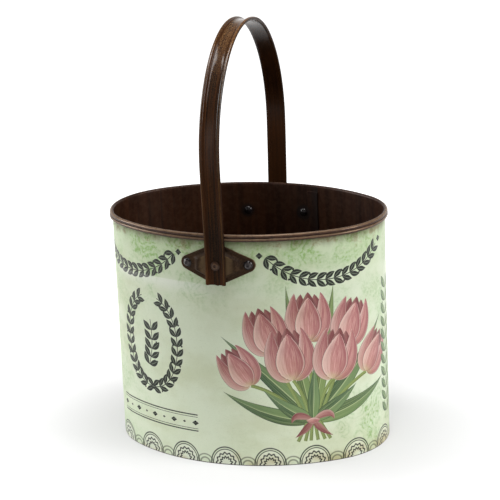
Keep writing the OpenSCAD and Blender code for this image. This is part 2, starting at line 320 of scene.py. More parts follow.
# Painted shadow at the lap's edge and painted shade beside it, on the inner face only
seam_shade = LAP_EDGE_SHADOW * np.exp(-np.maximum(from_lap_edge, 0) / LAP_EDGE_SHADOW_FADE) + band(from_lap_edge, *SEAM_SIDE_SHADE)
shade_beside_seam = np.where(from_lap_edge > -2 * EDGE_SOFT, seam_shade, 0.0)
from_faint_line = (wall_turns - FAINT_LINE_TURN) * inside_r
wall_crest = ridge_crest[None] - np.outer(shade_beside_seam + band(from_faint_line, *FAINT_LINE), inner_face)
wall_faces = grid_faces(len(wall_turns), len(wall_section), True, True)[:, ::-1].tolist()
wall = new_piece("bucket_wall", wall_points, wall_faces, "bucket", "wall", wall_crest)

# %% [markdown]
# ## The strap handle
# The strap is a strip of sheet whose two edges are rolled over into hems, so the outside is a shallow
# channel that curves up to the hems, and the inside is flat. Its line is a crown arc, two shoulder arcs,
# two legs that lean out, and a straight tab at each pivot. A walk along that line, step by step, gives
# the rows of the grid. A curve object with a bevel would be quicker, but the walk also gives the
# distance along the strap, which its hair-fine waves need.

# %% Section of the strap
STRAP_W = 14.3 * MM
WEB_T = 0.9 * MM
HEM_R = 1.3 * MM
HEM_FLAT = 0.2 * MM
WEB_RISE = 0.45 * MM
WEB_DIP = 0.20 * MM
HEM_POINTS = 18
WEB_POINTS = 17
BACK_POINTS = 9
hem_c = HEM_R - HEM_FLAT
hem_y = STRAP_W / 2 - HEM_R
back_end = math.degrees(math.acos(-hem_c / HEM_R))
web_end = -math.degrees(math.acos((WEB_T + WEB_RISE - hem_c) / HEM_R))
right_hem = arc_points((hem_c, hem_y), HEM_R, back_end, web_end, HEM_POINTS)
left_hem = right_hem[::-1] * [1, -1]
web_share = np.linspace(1, -1, WEB_POINTS)[1:-1]
web_face = WEB_T - WEB_DIP + (WEB_DIP + WEB_RISE) * np.abs(web_share) ** 3
face_web = np.stack([web_face, web_share * right_hem[-1, 1]], axis=-1)
back_y = np.linspace(left_hem[-1, 1], right_hem[0, 1], BACK_POINTS)[1:-1]
back_web = np.stack([np.zeros_like(back_y), back_y], axis=-1)
strap_section = np.concatenate([right_hem, face_web, left_hem, back_web])
print("strap section points:", len(strap_section))

# %% Wear and painted shade of the strap
# Each band has a strength, a middle and a width, in degrees round a hem or in shares of half the web
HEM_RUB = (0.8, 15, 30)
# Painted shade on the outer side edges of the hems
HEM_EDGE_SHADE = (0.7, 95, 32)
WEB_RUB = (0.3, 0.0, 0.4)
# Painted shade where the web meets the hems
WEB_EDGE_SHADE = (0.8, 0.95, 0.10)
WEB_BARE = 0.1
hem_angle = np.linspace(back_end, web_end, HEM_POINTS)
hem_wear_and_shade = band(hem_angle, *HEM_RUB) - band(hem_angle, *HEM_EDGE_SHADE)
web_wear_and_shade = WEB_BARE + band(web_share, *WEB_RUB) - band(np.abs(web_share), *WEB_EDGE_SHADE)
section_wear_and_shade = np.concatenate([hem_wear_and_shade, web_wear_and_shade, hem_wear_and_shade[::-1], np.zeros(len(back_web))])
print(f"strap wear from {section_wear_and_shade.min():.2f} to {section_wear_and_shade.max():.2f}")

# %% Line of the strap
RIM_CLEAR = 1.25 * MM
TAB_DOWN = 13.4 * MM
TAB_UP = 18 * MM
LEG_LEAN = math.radians(2.3)
LEG_BEND_R = 30 * MM
SHOULDER = math.radians(45)
FRAME_TOUCH = 0.002 * MM

# The frame gives the arch its height and its span. The radii of crown and shoulders follow from both.
strap_y = half_w + RIM_CLEAR
span_y = handle_high.y - hem_c - HEM_R - FRAME_TOUCH
leg_bow = span_y - strap_y
crown_z = handle_high.z - hem_c - HEM_R - FRAME_TOUCH
tab_top_z = pivot_z + TAB_UP
arch_k = math.cos(SHOULDER) + math.sin(SHOULDER) - 1
arch_m = math.cos(SHOULDER) / arch_k
half_lean = math.tan(LEG_LEAN / 2)
leg_rise = leg_bow / math.tan(LEG_LEAN)
arch_room = crown_z - span_y - tab_top_z - leg_rise - half_lean * LEG_BEND_R
shoulder_r = (span_y + arch_m * arch_room) / (1 + arch_m * half_lean)
spring_z = tab_top_z + leg_rise + half_lean * (shoulder_r + LEG_BEND_R)
crown_r = shoulder_r - (crown_z - spring_z - span_y) / arch_k
leg_l = (leg_bow - (shoulder_r + LEG_BEND_R) * (1 - math.cos(LEG_LEAN))) / math.sin(LEG_LEAN)

print(f"radius of the crown {crown_r:.4f} m, of the shoulders {shoulder_r:.4f} m")

# %% Walk along the strap
STRAP_STEP = 1.2 * MM
# Half of the line from the crown down: the length of each stretch and how sharply it turns
half_line = [
    (crown_r * (math.pi / 2 - SHOULDER), 1 / crown_r),
    (shoulder_r * (SHOULDER + LEG_LEAN), 1 / shoulder_r),
    (leg_l, 0.0),
    (LEG_BEND_R * LEG_LEAN, -1 / LEG_BEND_R),
    (TAB_UP + TAB_DOWN, 0.0),
]


def walk(line, pace):
    """Rows of y, z, heading and distance along arcs and straights, from the crown down to +Y."""
    spot = np.array([0.0, crown_z])
    heading = 0.0
    gone = 0.0
    rows = [(*spot, heading, gone)]
    for length, curve in line:
        count = max(2, round(length / pace))
        for _ in range(count):
            middle = heading - curve * length / count / 2
            spot = spot + length / count * np.array([math.cos(middle), math.sin(middle)])
            heading -= curve * length / count
            gone += length / count
            rows.append((*spot, heading, gone))
    return np.array(rows)


down_leg = walk(half_line, STRAP_STEP)
up_leg = down_leg[:0:-1] * [-1, 1, -1, -1]
strap_line = np.concatenate([up_leg, down_leg])
print(f"strap line: {len(strap_line)} rows, {2 * down_leg[-1, 3]:.3f} m long")

# %% Soft ends of the strap
TAB_ROUND = 0.35 * MM
TAB_EDGE_SHARE = 0.3


def moved_along(row, distance):
    """A row of the line, moved along its heading."""
    moved_row = row.copy()
    moved_row[:2] += distance * np.array([math.cos(row[2]), math.sin(row[2])])
    return moved_row


def round_off(line, size):
    """Gives each end of the line three rows, and says how far the section shrinks at every row."""
    start = [line[0], line[0], moved_along(line[0], size)]
    finish = [moved_along(line[-1], -size), line[-1], line[-1]]
    rows = np.concatenate([start, line[1:-1], finish])
    inset = np.zeros((len(rows), 1))
    inset[[0, -1]] = size
    inset[[1, -2]] = size * TAB_EDGE_SHARE
    return rows, inset


strap_rows, strap_inset = round_off(strap_line, TAB_ROUND)
print("strap rows with soft ends:", len(strap_rows))

# %% Sweep the strap
STRAP_UNEVEN = 0.06 * MM
# Turns of the waves along the strap, in radians per metre
QUICK_TURN = 95
SLOW_TURN = 41
middle_t = WEB_T / 2
quick_wave = np.sin(strap_rows[:, 3:] * QUICK_TURN)
slow_wave = np.sin(strap_rows[:, 3:] * SLOW_TURN + 2)
wave = STRAP_UNEVEN * (quick_wave + slow_wave) / 2
lift = middle_t + (strap_section[None, :, 0] - middle_t) * (1 - strap_inset / HEM_R)
strap_x = strap_section[None, :, 1] * (1 - strap_inset / (STRAP_W / 2)) + wave
strap_depth = strap_rows[:, :1] - lift * np.sin(strap_rows[:, 2:3])
strap_height = strap_rows[:, 1:2] + lift * np.cos(strap_rows[:, 2:3])
strap_points = np.stack([strap_x, strap_depth, strap_height], axis=-1)

section_count = len(strap_section)
last_row = (len(strap_rows) - 1) * section_count
strap_faces = grid_faces(len(strap_rows), section_count, False, True).tolist()
strap_faces.append(list(range(section_count))[::-1])
strap_faces.append(list(range(last_row, last_row + section_count)))
strap_crest = np.tile(section_wear_and_shade, (len(strap_rows), 1))
handle = new_piece("strap_handle", strap_points, strap_faces, "handle", "handle", strap_crest)

# %% [markdown]
# The tabs are drilled for the pivot rivets. A round hole doesn't fit into the rows of a grid, so a Boolean
# modifier with a round cutter makes it. The result is written back to the mesh, so that nothing but the
# finished strap is left in the scene.

# %% Drill the strap
PIVOT_HOLE_R = 2.05 * MM
DRILL_REACH = 4 * MM


def drill(piece, centre, axis, radius, depth, sides=48):
    """Cuts a round hole through a piece with a cutter that is then removed."""
    turn = Vector(axis).to_track_quat("Z", "Y").to_matrix()
    points = []
    for level in (-depth, depth):
        for angle in np.linspace(0, 2 * math.pi, sides, endpoint=False):
            local = Vector((radius * math.cos(angle), radius * math.sin(angle), level))
            points.append(Vector(centre) + turn @ local)
    faces = grid_faces(2, sides, False, True).tolist()
    faces += [list(range(sides))[::-1], list(range(sides, 2 * sides))]
    mesh = bpy.data.meshes.new("cutter")
    mesh.from_pydata(points, [], faces)
    cutter = add_object("cutter", mesh)
    bore = piece.modifiers.new("drill", "BOOLEAN")
    bore.object = cutter
    bore.operation = "DIFFERENCE"
    bore.solver = "EXACT"
    graph = bpy.context.evaluated_depsgraph_get()
    drilled = bpy.data.meshes.new_from_object(piece.evaluated_get(graph))
    piece.modifiers.remove(bore)
    piece.data = drilled
    drilled.set_sharp_from_angle(angle=math.radians(CREASE_DEG))
    bpy.data.objects.remove(cutter)
    print(f"{piece.name}: drilled, {len(drilled.polygons)} faces")


for side in (-1, 1):
    drill(handle, (0, side * strap_y, pivot_z), (0, 1, 0), PIVOT_HOLE_R, DRILL_REACH)

# %% [markdown]
# ## The hinge plates
# A plate is a rounded lozenge of sheet, bent to the wall at its ears and pressed out to a flat in the
# middle, so that the strap has room to turn. It could be cut from boxes, but pressed sheet has no sharp
# creases. Here rings of points run from the outline to the middle, and a smooth step lifts them from
# the wall to the flat.

# %% Outline of a plate
EAR_R = 4.9 * MM
RIVET_SPAN = 43 * MM
PLATE_H = 30 * MM
CORNER_R = 3 * MM
EAR_POINTS = 22
CORNER_POINTS = 12
SLANT_POINTS = 16

ear_x = RIVET_SPAN / 2
corner_z = PLATE_H / 2 - CORNER_R
slant = math.hypot(ear_x, corner_z)
ear_end = math.degrees(math.acos((CORNER_R - EAR_R) / slant) - math.atan2(corner_z, ear_x))
ear_arc = arc_points((ear_x, 0), EAR_R, -ear_end, ear_end, EAR_POINTS)
corner_arc = arc_points((0, corner_z), CORNER_R, ear_end, 180 - ear_end, CORNER_POINTS)
half_outline = np.concatenate([
    ear_arc,
    np.linspace(ear_arc[-1], corner_arc[0], SLANT_POINTS)[1:-1],
    corner_arc,
    np.linspace(corner_arc[-1], -ear_arc[0], SLANT_POINTS)[1:-1],
])
plate_outline = np.concatenate([half_outline, -half_outline])
print("plate outline points:", len(plate_outline))

# %% Press a plate
PLATE_T = 0.9 * MM
SEAT = 0.05 * MM
SLIDE = 0.2 * MM
# Half length, half height and the place of the point of a lozenge whose ends are cut short
DISH_TOP = (13.2 * MM, 9.6 * MM, RIVET_SPAN / 2)
DISH_FOOT = (17 * MM, 12.6 * MM, RIVET_SPAN / 2 + EAR_R)
ABOVE_ZERO = 1e-9
ear_in_r = side_r + wrap_out + SEAT
ear_out_r = ear_in_r + PLATE_T
dish_y = strap_y - SLIDE


def into_dish(x, z, dish):
    """Distance into a lozenge that is cut off short at its ends, negative outside it."""
    half_x, half_z, point_x = dish
    slope = math.cos(math.atan2(half_z, point_x))
    return np.minimum(half_x - np.abs(x), (half_z * (1 - np.abs(x) / point_x) - np.abs(z)) * slope)


def press(x, z):
    """How far the sheet is lifted from the wall to the flat, 0 to 1."""
    foot_in = into_dish(x, z, DISH_FOOT)
    top_in = into_dish(x, z, DISH_TOP)
    return ease(0, 1, np.clip(foot_in / np.maximum(foot_in - top_in, ABOVE_ZERO), 0, 1))


def wall_y(x, radius):
    """Distance of a long side's arc from the middle plane."""
    return np.sqrt(radius**2 - x**2) - side_cy


print(f"the flat of a plate stands {(dish_y - wall_y(0, ear_out_r)) / MM:.2f} mm off its ears")

# %% Wear and painted shade of a plate
PLATE_RINGS = 44
SOFT_SHARES = (0.0, 0.12, 0.45)
FLAT_RUB = 0.3
EDGE_RUB = 0.75
# Painted shade on the slopes of the pressing
SLOPE_SHADE = 0.8
# Each band has a strength, a middle and a width along the plate
STRAP_RUB = (0.65, 7 * MM, 5.5 * MM)
# Painted shade on the flat beside each rivet
RIVET_SHADE = (1.4, ear_x - 4.5 * MM, 3.2 * MM)
edge_rows = slice(PLATE_RINGS - 1, PLATE_RINGS + 1 + len(SOFT_SHARES))


def plate_wear_and_shade(x, z):
    """Rubbed on the flat beside the strap and along the edge, with painted shade on the slope and beside the
    rivets.
    """
    lifted = press(x, z)
    slope = 4 * lifted * (1 - lifted)
    beside_strap = band(np.abs(x), *STRAP_RUB)
    shade_by_rivet = band(np.abs(x), *RIVET_SHADE)
    edge = np.zeros_like(x)
    edge[edge_rows] = EDGE_RUB
    return np.maximum(lifted * (FLAT_RUB + beside_strap) - SLOPE_SHADE * slope - shade_by_rivet, edge)


print("rings of a plate that make its edge:", edge_rows.stop - edge_rows.start)

# %% Shape of a plate
PLATE_SOFT = 0.3 * MM
PLATE_MEAN_R = 12 * MM
PLATE_CREASE_DEG = 50
SIDES = ((-1, "front"), (1, "back"))


def hinge_plate(name, side, node):
    """A plate as rings of points: outwards over its back, round its edge and inwards over its face."""
    share = np.linspace(1, 0, PLATE_RINGS, endpoint=False)
    x = np.outer(share, plate_outline[:, 0])
    z = np.outer(share, plate_outline[:, 1])
    lifted = press(x, z)
    face = wall_y(x, ear_out_r) * (1 - lifted) + dish_y * lifted
    back = wall_y(x, ear_in_r) * (1 - lifted) + (dish_y - PLATE_T) * lifted
    shrink = [1 - PLATE_SOFT / PLATE_MEAN_R * s for s in SOFT_SHARES]
    edge_x = np.outer(shrink, plate_outline[:, 0])
    edge_z = np.outer(shrink, plate_outline[:, 1])
    drop = np.array([PLATE_SOFT, PLATE_SOFT / 3, 0.0])[:, None]
    edge_y = wall_y(edge_x, ear_out_r) - drop
    rows_x = np.concatenate([x[::-1], edge_x[:1], edge_x, x[1:]])
    rows_y = np.concatenate([back[::-1], edge_y[:1] - PLATE_T + 2 * PLATE_SOFT, edge_y, face[1:]])
    rows_z = np.concatenate([z[::-1], edge_z[:1], edge_z, z[1:]])
    rings = np.stack([-side * rows_x, side * rows_y, rows_z + pivot_z], axis=-1)
    poles = np.array([[0, side * (dish_y - PLATE_T), pivot_z], [0, side * dish_y, pivot_z]])
    points = np.concatenate([rings.reshape(-1, 3), poles])
    faces = capped_faces(len(rows_x), len(plate_outline))
    crest = np.append(plate_wear_and_shade(rows_x, rows_z), [0, 0])
    return new_piece(name, points, faces, "bucket", node, crest, PLATE_CREASE_DEG)


plates = [hinge_plate(f"{word}_hinge_plate", side, f"{word}_plate") for side, word in SIDES]

# %% [markdown]
# ## The rivets
# All six rivets are turned shapes: a domed head with the small hollow that its mandrel left, a shank,
# and a closed end. The closed ends of four of them show inside the bucket. A turned shape is a profile
# carried round an axis. A Screw modifier could do it, and the function below does the same with the
# poles closed to one point.

# %% Profile of a rivet
HEAD_FOOT_SHARE = 0.97
HOLLOW_R = 1.1 * MM
HOLLOW_H = 0.5 * MM
# Shares of the hollow's radius and depth, from its rim to its bottom
HOLLOW_SHARES = np.array([[1.0, 0.12], [0.86, 0.2], [0.55, 0.85], [0.3, 1.0]])


def dome(radius, height, count=9):
    """Profile of a domed head from its foot to its top, as radius and height."""
    ball = (radius**2 + height**2) / (2 * height)
    angle = np.linspace(math.asin(min(1, radius / ball)), 0, count)
    return np.stack([ball * np.sin(angle), height - ball + ball * np.cos(angle)], axis=-1)


def headed(profile, collar):
    """A dome with a straight collar under it and a hollow in its top."""
    foot_edge = [[profile[0, 0] * HEAD_FOOT_SHARE, 0]]
    kept = profile[profile[:, 0] > HOLLOW_R] + [0, collar]
    hollow = HOLLOW_SHARES * [HOLLOW_R, -HOLLOW_H] + [0, profile[-1, 1] + collar]
    return np.concatenate([foot_edge, kept, hollow])


print("points in the profile of a dome:", len(dome(3 * MM, MM)))

# %% Turn a rivet
RIVET_SIDES = 48
RIVET_COLLAR = 0.12 * MM
RIVET_CREASE_DEG = 55
# Strength, middle and width of the rubbed band on the head
HEAD_RUB = (1.0, 1.5 * HOLLOW_R, 0.6 * MM)


def rivet(name, node, centre, axis, head, shank_r, grip, tail):
    """head and tail are radius and height. The head's foot is at centre, the tail lies a grip below it."""
    up = headed(dome(head[0], head[1] - RIVET_COLLAR), RIVET_COLLAR)
    down = dome(*tail)[::-1] * [1, -1] - [0, grip]
    profile = np.concatenate([down[1:], [[shank_r, -grip], [shank_r, 0]], up])
    angle = np.linspace(0, 2 * math.pi, RIVET_SIDES, endpoint=False)
    x = np.outer(profile[:, 0], np.cos(angle))
    y = np.outer(profile[:, 0], np.sin(angle))
    z = np.repeat(profile[:, 1:], RIVET_SIDES, axis=1)
    poles = np.array([[0, 0, down[0, 1]], [0, 0, profile[-1, 1]]])
    turn = np.array(Vector(axis).to_track_quat("Z", "Y").to_matrix())
    local = np.concatenate([np.stack([x, y, z], axis=-1).reshape(-1, 3), poles])
    points = local @ turn.T + np.array(centre)
    faces = capped_faces(len(profile), RIVET_SIDES)
    worn = band(profile[:, 0], *HEAD_RUB) * (profile[:, 1] > 0)
    crest = np.append(np.repeat(worn, RIVET_SIDES), [0, 0])
    return new_piece(name, points, faces, "bucket", node, crest, RIVET_CREASE_DEG)


print(f"rivets have {RIVET_SIDES} sides, rubbed {HEAD_RUB[1] / MM:.2f} mm from the middle")

# %% Set the rivets
WALL_HEAD = (3.1 * MM, 1.7 * MM)
WALL_TAIL = (2.9 * MM, 1.5 * MM)
WALL_SHANK_R = 1.5 * MM
PIVOT_HEAD = (3.3 * MM, 1.3 * MM)
PIVOT_TAIL = (2.9 * MM, 1.0 * MM)
PIVOT_SHANK_R = 2 * MM
rivet_turn = math.asin(ear_x / ear_out_r)
wall_grip = ear_out_r - inside_r + 2 * SEAT
pivot_head_y = strap_y + WEB_T + SLIDE
pivot_grip = pivot_head_y - (dish_y - PLATE_T - SEAT)
wall_rivets = []
pivot_rivets = []
for side, word in SIDES:
    for hand, hand_word in ((-1, "left"), (1, "right")):
        lean = hand * rivet_turn
        axis = Vector((math.sin(lean), side * math.cos(lean), 0))
        centre = Vector((0, -side * side_cy, pivot_z)) + axis * (ear_out_r + SEAT)
        wall_rivets.append(rivet(f"{word}_{hand_word}_wall_rivet", f"{word}_{hand_word}_rivet", centre, axis,
                                 WALL_HEAD, WALL_SHANK_R, wall_grip, WALL_TAIL))
    centre = (0, side * pivot_head_y, pivot_z)
    pivot_rivets.append(rivet(f"{word}_handle_rivet", f"{word}_pivot_rivet", centre, (0, side, 0),
                              PIVOT_HEAD, PIVOT_SHANK_R, pivot_grip, PIVOT_TAIL))

# %% [markdown]
# ## Drawing the print
# The wrap is printed flat and then bent round the bucket, so it is drawn flat here too: `u` runs along
# the wrap from the middle of the front, `v` is the height, both in millimetres. A picture could be laid
# on the wrap, but drawn shapes stay sharp at any distance. Every leaf, petal, stem and rule is the same
# kind of shape, a blade round a bent spine. A blade knows how far along and across itself any point
# lies, and the inks use that for veins and shading.

# %% Blades
LEAST_HALF = 0.02


def bend(points, count):
    """A smooth line through the pull of its points, as a Bezier curve of any order."""
    t = np.linspace(0, 1, count)[:, None, None]
    level = np.asarray(points, float)[None] + 0 * t
    while level.shape[1] > 1:
        level = level[:, :-1] * (1 - t) + level[:, 1:] * t
    return level[:, 0]


def blade(ink, spine, widths, tone=0.5, count=26):
    """One printed shape. widths gives half the width at shares 0 to 1 of the spine."""
    line = bend(spine, count)
    ahead = np.gradient(line, axis=0)
    ahead /= np.linalg.norm(ahead, axis=1, keepdims=True)
    side = np.stack([ahead[:, 1], -ahead[:, 0]], axis=-1)
    half = np.maximum(widths(np.linspace(0, 1, count)), LEAST_HALF)
    outline = np.concatenate([line + side * half[:, None], (line - side * half[:, None])[::-1]])
    return {"ink": ink, "line": line, "side": side, "half": half, "outline": outline, "tone": tone}


def across_blade(shape, points):
    """Share along a blade and signed share across it, for points that lie on it."""
    apart = np.linalg.norm(points[:, None] - shape["line"][None], axis=-1)
    near = apart.argmin(axis=1)
    offset = ((points - shape["line"][near]) * shape["side"][near]).sum(axis=1)
    return near / (len(shape["line"]) - 1), np.clip(offset / shape["half"][near], -1, 1)


def moved(points, spot, tilt_deg=0.0, size=1.0):
    """Points of a motif, scaled, tilted to the right and put on a spot."""
    a = math.radians(-tilt_deg)
    turn = np.array([[math.cos(a), math.sin(a)], [-math.sin(a), math.cos(a)]])
    return np.asarray(points, float) * size @ turn + spot


# %% Widths of the blades
def petal_width(width):
    """Full below the middle, with a soft point."""
    return lambda s: width * np.sin(np.pi * np.clip(s, 0, 1) ** 0.82) ** 0.78


def leaf_width(width):
    """Slim at the foot, widest in the lower half, with a long point."""
    return lambda s: width * (0.22 * (1 - s) + 0.95 * np.sin(np.pi * s**0.7) ** 1.1)


def spindle_width(width):
    """Pointed at both ends."""
    return lambda s: width * np.sin(np.pi * s)


def even_width(width):
    """The same all along, as a stem or a rule."""
    return lambda s: width * np.ones_like(s)


print("half a petal's width at its middle:", round(float(petal_width(7.0)(0.5)), 2), "mm")

# %% [markdown]
# The main motif is a bunch of tulips tied with a ribbon. What lies behind is drawn first, as a painter
# would do it: the long leaves, the stems, the back petals of each flower and then the front ones. All
# its places are counted from the tie.

# %% Places in a bunch
# Each petal: its spine from the foot of the flower, half its width and its tone
PETALS = [
    ([(0, 1), (-8, 15), (-4.5, 35)], 7.0, 0.15),
    ([(0, 1), (8, 15), (5.0, 34)], 7.0, 0.22),
    ([(0, 2), (0.5, 18), (0.5, 36)], 7.5, 0.10),
    ([(-1, 0), (-15, 9), (-9, 36)], 6.6, 0.55),
    ([(1, 0), (15, 9), (9.5, 35)], 6.6, 0.68),
    ([(0, 0), (-0.5, 13), (0.5, 32)], 9.6, 0.90),
]
# Each flower: its foot, its tilt in degrees and its size
BACK_FLOWERS = [((-1, 57), -1, 0.98), ((-27, 50), -15, 0.94), ((26, 51), 15, 0.95),
                ((-42, 27), -34, 0.86), ((42, 28), 34, 0.88)]
FRONT_FLOWERS = [((-13, 30), -6, 1.06), ((15, 28), 9, 1.02)]
# Each long leaf: its bend, its tip and half its width
BACK_LEAVES = [((-24, 30), (-62, 62), 5.2), ((26, 26), (60, 66), 5.4), ((-30, 2), (-62, 22), 5.0),
               ((30, 4), (62, 20), 5.2), ((-14, 62), (-16, 98), 4.0), ((13, 60), (17, 96), 4.2)]
FRONT_LEAVES = [((-16, 6), (-34, 24), 4.6), ((17, 8), (33, 22), 4.6), ((1, 18), (2, 40), 4.0)]
STEM_FEET = (-11, -6, -2, 3, 8, 12)
print("flowers in a bunch:", len(BACK_FLOWERS) + len(FRONT_FLOWERS))

# %% Flowers, leaves and stems
def tulips(tie, flowers):
    """All the petals of some flowers."""
    return [blade("petal", moved(spine, moved(foot, tie), tilt, size), petal_width(width * size), tone)
            for foot, tilt, size in flowers for spine, width, tone in PETALS]


def long_leaves(tie, leaves, tones):
    """Long leaves that rise from the tie."""
    return [blade("leaf", moved([(0, 0), middle, tip], tie), leaf_width(width), tone, 40)
            for (middle, tip, width), tone in zip(leaves, tones)]


def stems(tie):
    """Stems from the flowers to the tie, and their cut ends below it."""
    upper = [[(u, v), (0.5 * u, 22), (0.16 * u, 0)] for (u, v), _, _ in BACK_FLOWERS + FRONT_FLOWERS]
    lower = [[(0.2 * u, 3), (u, -15)] for u in STEM_FEET]
    shapes = [blade("leaf", moved(spine, tie), even_width(1.25), 0.92) for spine in upper]
    return shapes + [blade("leaf", moved(spine, tie), even_width(1.2), 0.85) for spine in lower]


print("petals of the front flowers:", len(tulips((0, 0), FRONT_FLOWERS)))

# %% A bunch of tulips
def ribbon(tie):
    """A bow of two loops and two tails, with the band over them."""
    tails = [([(0, 0), (-6, -8), (-13, -12)], 0.2), ([(0, 0), (5, -8), (14, -13)], 0.25)]
    loops = [([(0, 0), (-13, 8), (-15, -1)], 0.3), ([(0, 0), (13, 8), (15, -1)], 0.4)]
    knot = [(-5, 0), (0, -1), (5, 0)]
    shapes = [blade("petal", moved(spine, tie), leaf_width(2.2), tone) for spine, tone in tails]
    shapes += [blade("petal", moved(spine, tie), petal_width(2.6), tone) for spine, tone in loops]
    return shapes + [blade("petal", moved(knot, tie), spindle_width(2.3), 0.6)]


def bunch(tie):
    """Leaves, stems, flowers and ribbon round the point where the stems are tied."""
    shapes = long_leaves(tie, BACK_LEAVES, [0.15 + 0.1 * i for i in range(len(BACK_LEAVES))])
    shapes += stems(tie) + tulips(tie, BACK_FLOWERS)
    shapes += long_leaves(tie, FRONT_LEAVES, [0.35] * len(FRONT_LEAVES))
    return shapes + tulips(tie, FRONT_FLOWERS) + ribbon(tie)


print("shapes in a bunch:", len(bunch((0, 0))))

# %% [markdown]
# The rest is printers' ornament in one dark ink: laurel swags under the rim, a laurel wreath round a
# sprig, and rules with lozenges between them. Such ornaments are built from small leaves set along a
# line, so one function lays leaves on any line.

# %% Laurel
STALK_HALF = 0.32
BERRY_L = 1.7
BERRY_HALF = 0.85
BERRY_SPREAD = 2.3


def laurel(spine, leaves, length, width, ink="ink", spread_deg=34):
    """Leaf pairs along a bent stem, with berries at every second pair."""
    line = bend(spine, leaves + 1)
    leaf_low = 0.35 * length
    shapes = [blade(ink, spine, even_width(STALK_HALF), 0.5, 3 * leaves)]
    for i in range(1, leaves + 1):
        ahead = line[i] - line[i - 1]
        heading = math.degrees(math.atan2(ahead[0], ahead[1]))
        for hand in (-1, 1):
            spread = hand * spread_deg
            leaf = [(0, 0), (0.12 * hand * length, 0.5 * length), (0, length)]
            leaf = moved(leaf, line[i - 1], heading + spread)
            shapes.append(blade(ink, leaf, spindle_width(width), 0.4 + 0.1 * hand, 14))
            if i % 2 == 0:
                berry = [(0, leaf_low), (0, leaf_low + BERRY_L)]
                berry = moved(berry, line[i - 1], heading + BERRY_SPREAD * spread)
                shapes.append(blade(ink, berry, spindle_width(BERRY_HALF), 0.5, 12))
    return shapes


print("shapes in a laurel of 6 pairs:", len(laurel([(0, 0), (0, 40)], leaves=6, length=8.0, width=1.9)))

# %% Rules, lozenges and the wreath
def rule(u0, u1, v, half):
    """A straight printed line."""
    return blade("ink", [(u0, v), (u1, v)], even_width(half), 0.5, 30)


def lozenge(u, v, width, height):
    """A small printed diamond, by half its width and height."""
    return blade("ink", [(u - width, v), (u + width, v)], lambda s: height * (1 - np.abs(2 * s - 1)), 0.5, 9)


def wreath(centre, wide, high):
    """Two laurel branches that meet below and stay open above, round a sprig."""
    u, v = centre
    shapes = []
    for hand in (-1, 1):
        spine = [(u, v - high), (u + 1.15 * hand * wide, v - high), (u + 1.3 * hand * wide, v + 0.75 * high),
                 (u + 0.3 * hand * wide, v + high)]
        shapes += laurel(spine, leaves=13, length=8.4, width=1.9)
    sprig = [(u - 3, v - 0.52 * high), (u + 3, v - 0.1 * high), (u, v + 0.5 * high)]
    shapes += laurel(sprig, leaves=5, length=10.0, width=2.3, spread_deg=46)
    shapes.append(lozenge(u, v - high, 3.2, 2.4))
    return shapes


print("shapes in a wreath:", len(wreath((0, 0), 25, 33)))

# %% [markdown]
# Each long side carries the same panel: two swags at the hinge plate, the wreath and the rules on the
# left and the bunch on the right. A tall frond stands on each end of the oval, between the panels.

# %% A panel of the print
SWAG = np.array([(33, 150), (58, 124), (96, 128), (118, 149)])
SWAG_LOZENGES_U = (29, 122)
SWAG_LOZENGES_V = 151.5
WREATH_AT = (-58, 82)
WREATH_SIZE = (25, 33)
RULES = ((34.5, 0.45), (32.8, 0.2), (24.2, 0.2), (22.6, 0.45))
RULE_ENDS = (-96, -20)
RULE_LOZENGES_V = 28.5
RULE_LOZENGES_PITCH = 9
LOZENGE_SIZES = ((2.6, 1.9), (1.3, 0.9))
BUNCH_AT = (62, 32)


def panel(shift):
    """One side's print, moved along the wrap."""
    shapes = []
    for hand in (-1, 1):
        shapes += laurel(SWAG * [hand, 1] + [shift, 0], leaves=15, length=8.6, width=1.9)
        shapes += [lozenge(shift + hand * u, SWAG_LOZENGES_V, 2.4, 2.4) for u in SWAG_LOZENGES_U]
    wreath_u = shift + WREATH_AT[0]
    shapes += wreath((wreath_u, WREATH_AT[1]), *WREATH_SIZE)
    shapes += [rule(shift + RULE_ENDS[0], shift + RULE_ENDS[1], v, half) for v, half in RULES]
    for i in range(-4, 5):
        shapes.append(lozenge(wreath_u + RULE_LOZENGES_PITCH * i, RULE_LOZENGES_V, *LOZENGE_SIZES[i % 2]))
    return shapes + bunch((shift + BUNCH_AT[0], BUNCH_AT[1]))


print("shapes in a panel:", len(panel(0.0)))

# %% Lay out the wrap
FROND = [(0, 22), (-3, 70), (2, 122)]
LAP_FROM_BACK = 11
half_mm = half_round / MM
lap_u = half_mm - LAP_FROM_BACK
shapes = panel(0.0)
for shape in panel(half_mm):
    beyond = 2 * half_mm if shape["line"][:, 0].mean() > lap_u else 0.0
    for key in ("line", "outline"):
        shape[key] = shape[key] - [beyond, 0]
    shapes.append(shape)
for hand in (-1, 1):
    frond = moved(FROND, (hand * half_mm / 2, 0))
    shapes += laurel(frond, leaves=11, length=13.0, width=2.7, ink="leaf", spread_deg=42)
print("printed shapes:", len(shapes))

# %% [markdown]
# ## The printed wrap
# Ink has no thickness, so the shapes aren't laid on top of the wrap. They are let into it: the flat
# sheet is cut into triangles that follow every outline, and each triangle takes the ink of the topmost
# shape it lies in. Bending is then only a matter of moving the points onto the oval. The true outward
# direction is stored as the normal, so the cuts don't show in the varnish. The ends of the sheet meet at
# the back, where nothing is printed.

# %% Cut the flat sheet
COLUMNS = 212
ROWS = 26
CUT_CLOSE = 1e-4
ON_EDGE = 10 * CUT_CLOSE
low_mm = wrap_low.z / MM
high_mm = wrap_high.z / MM

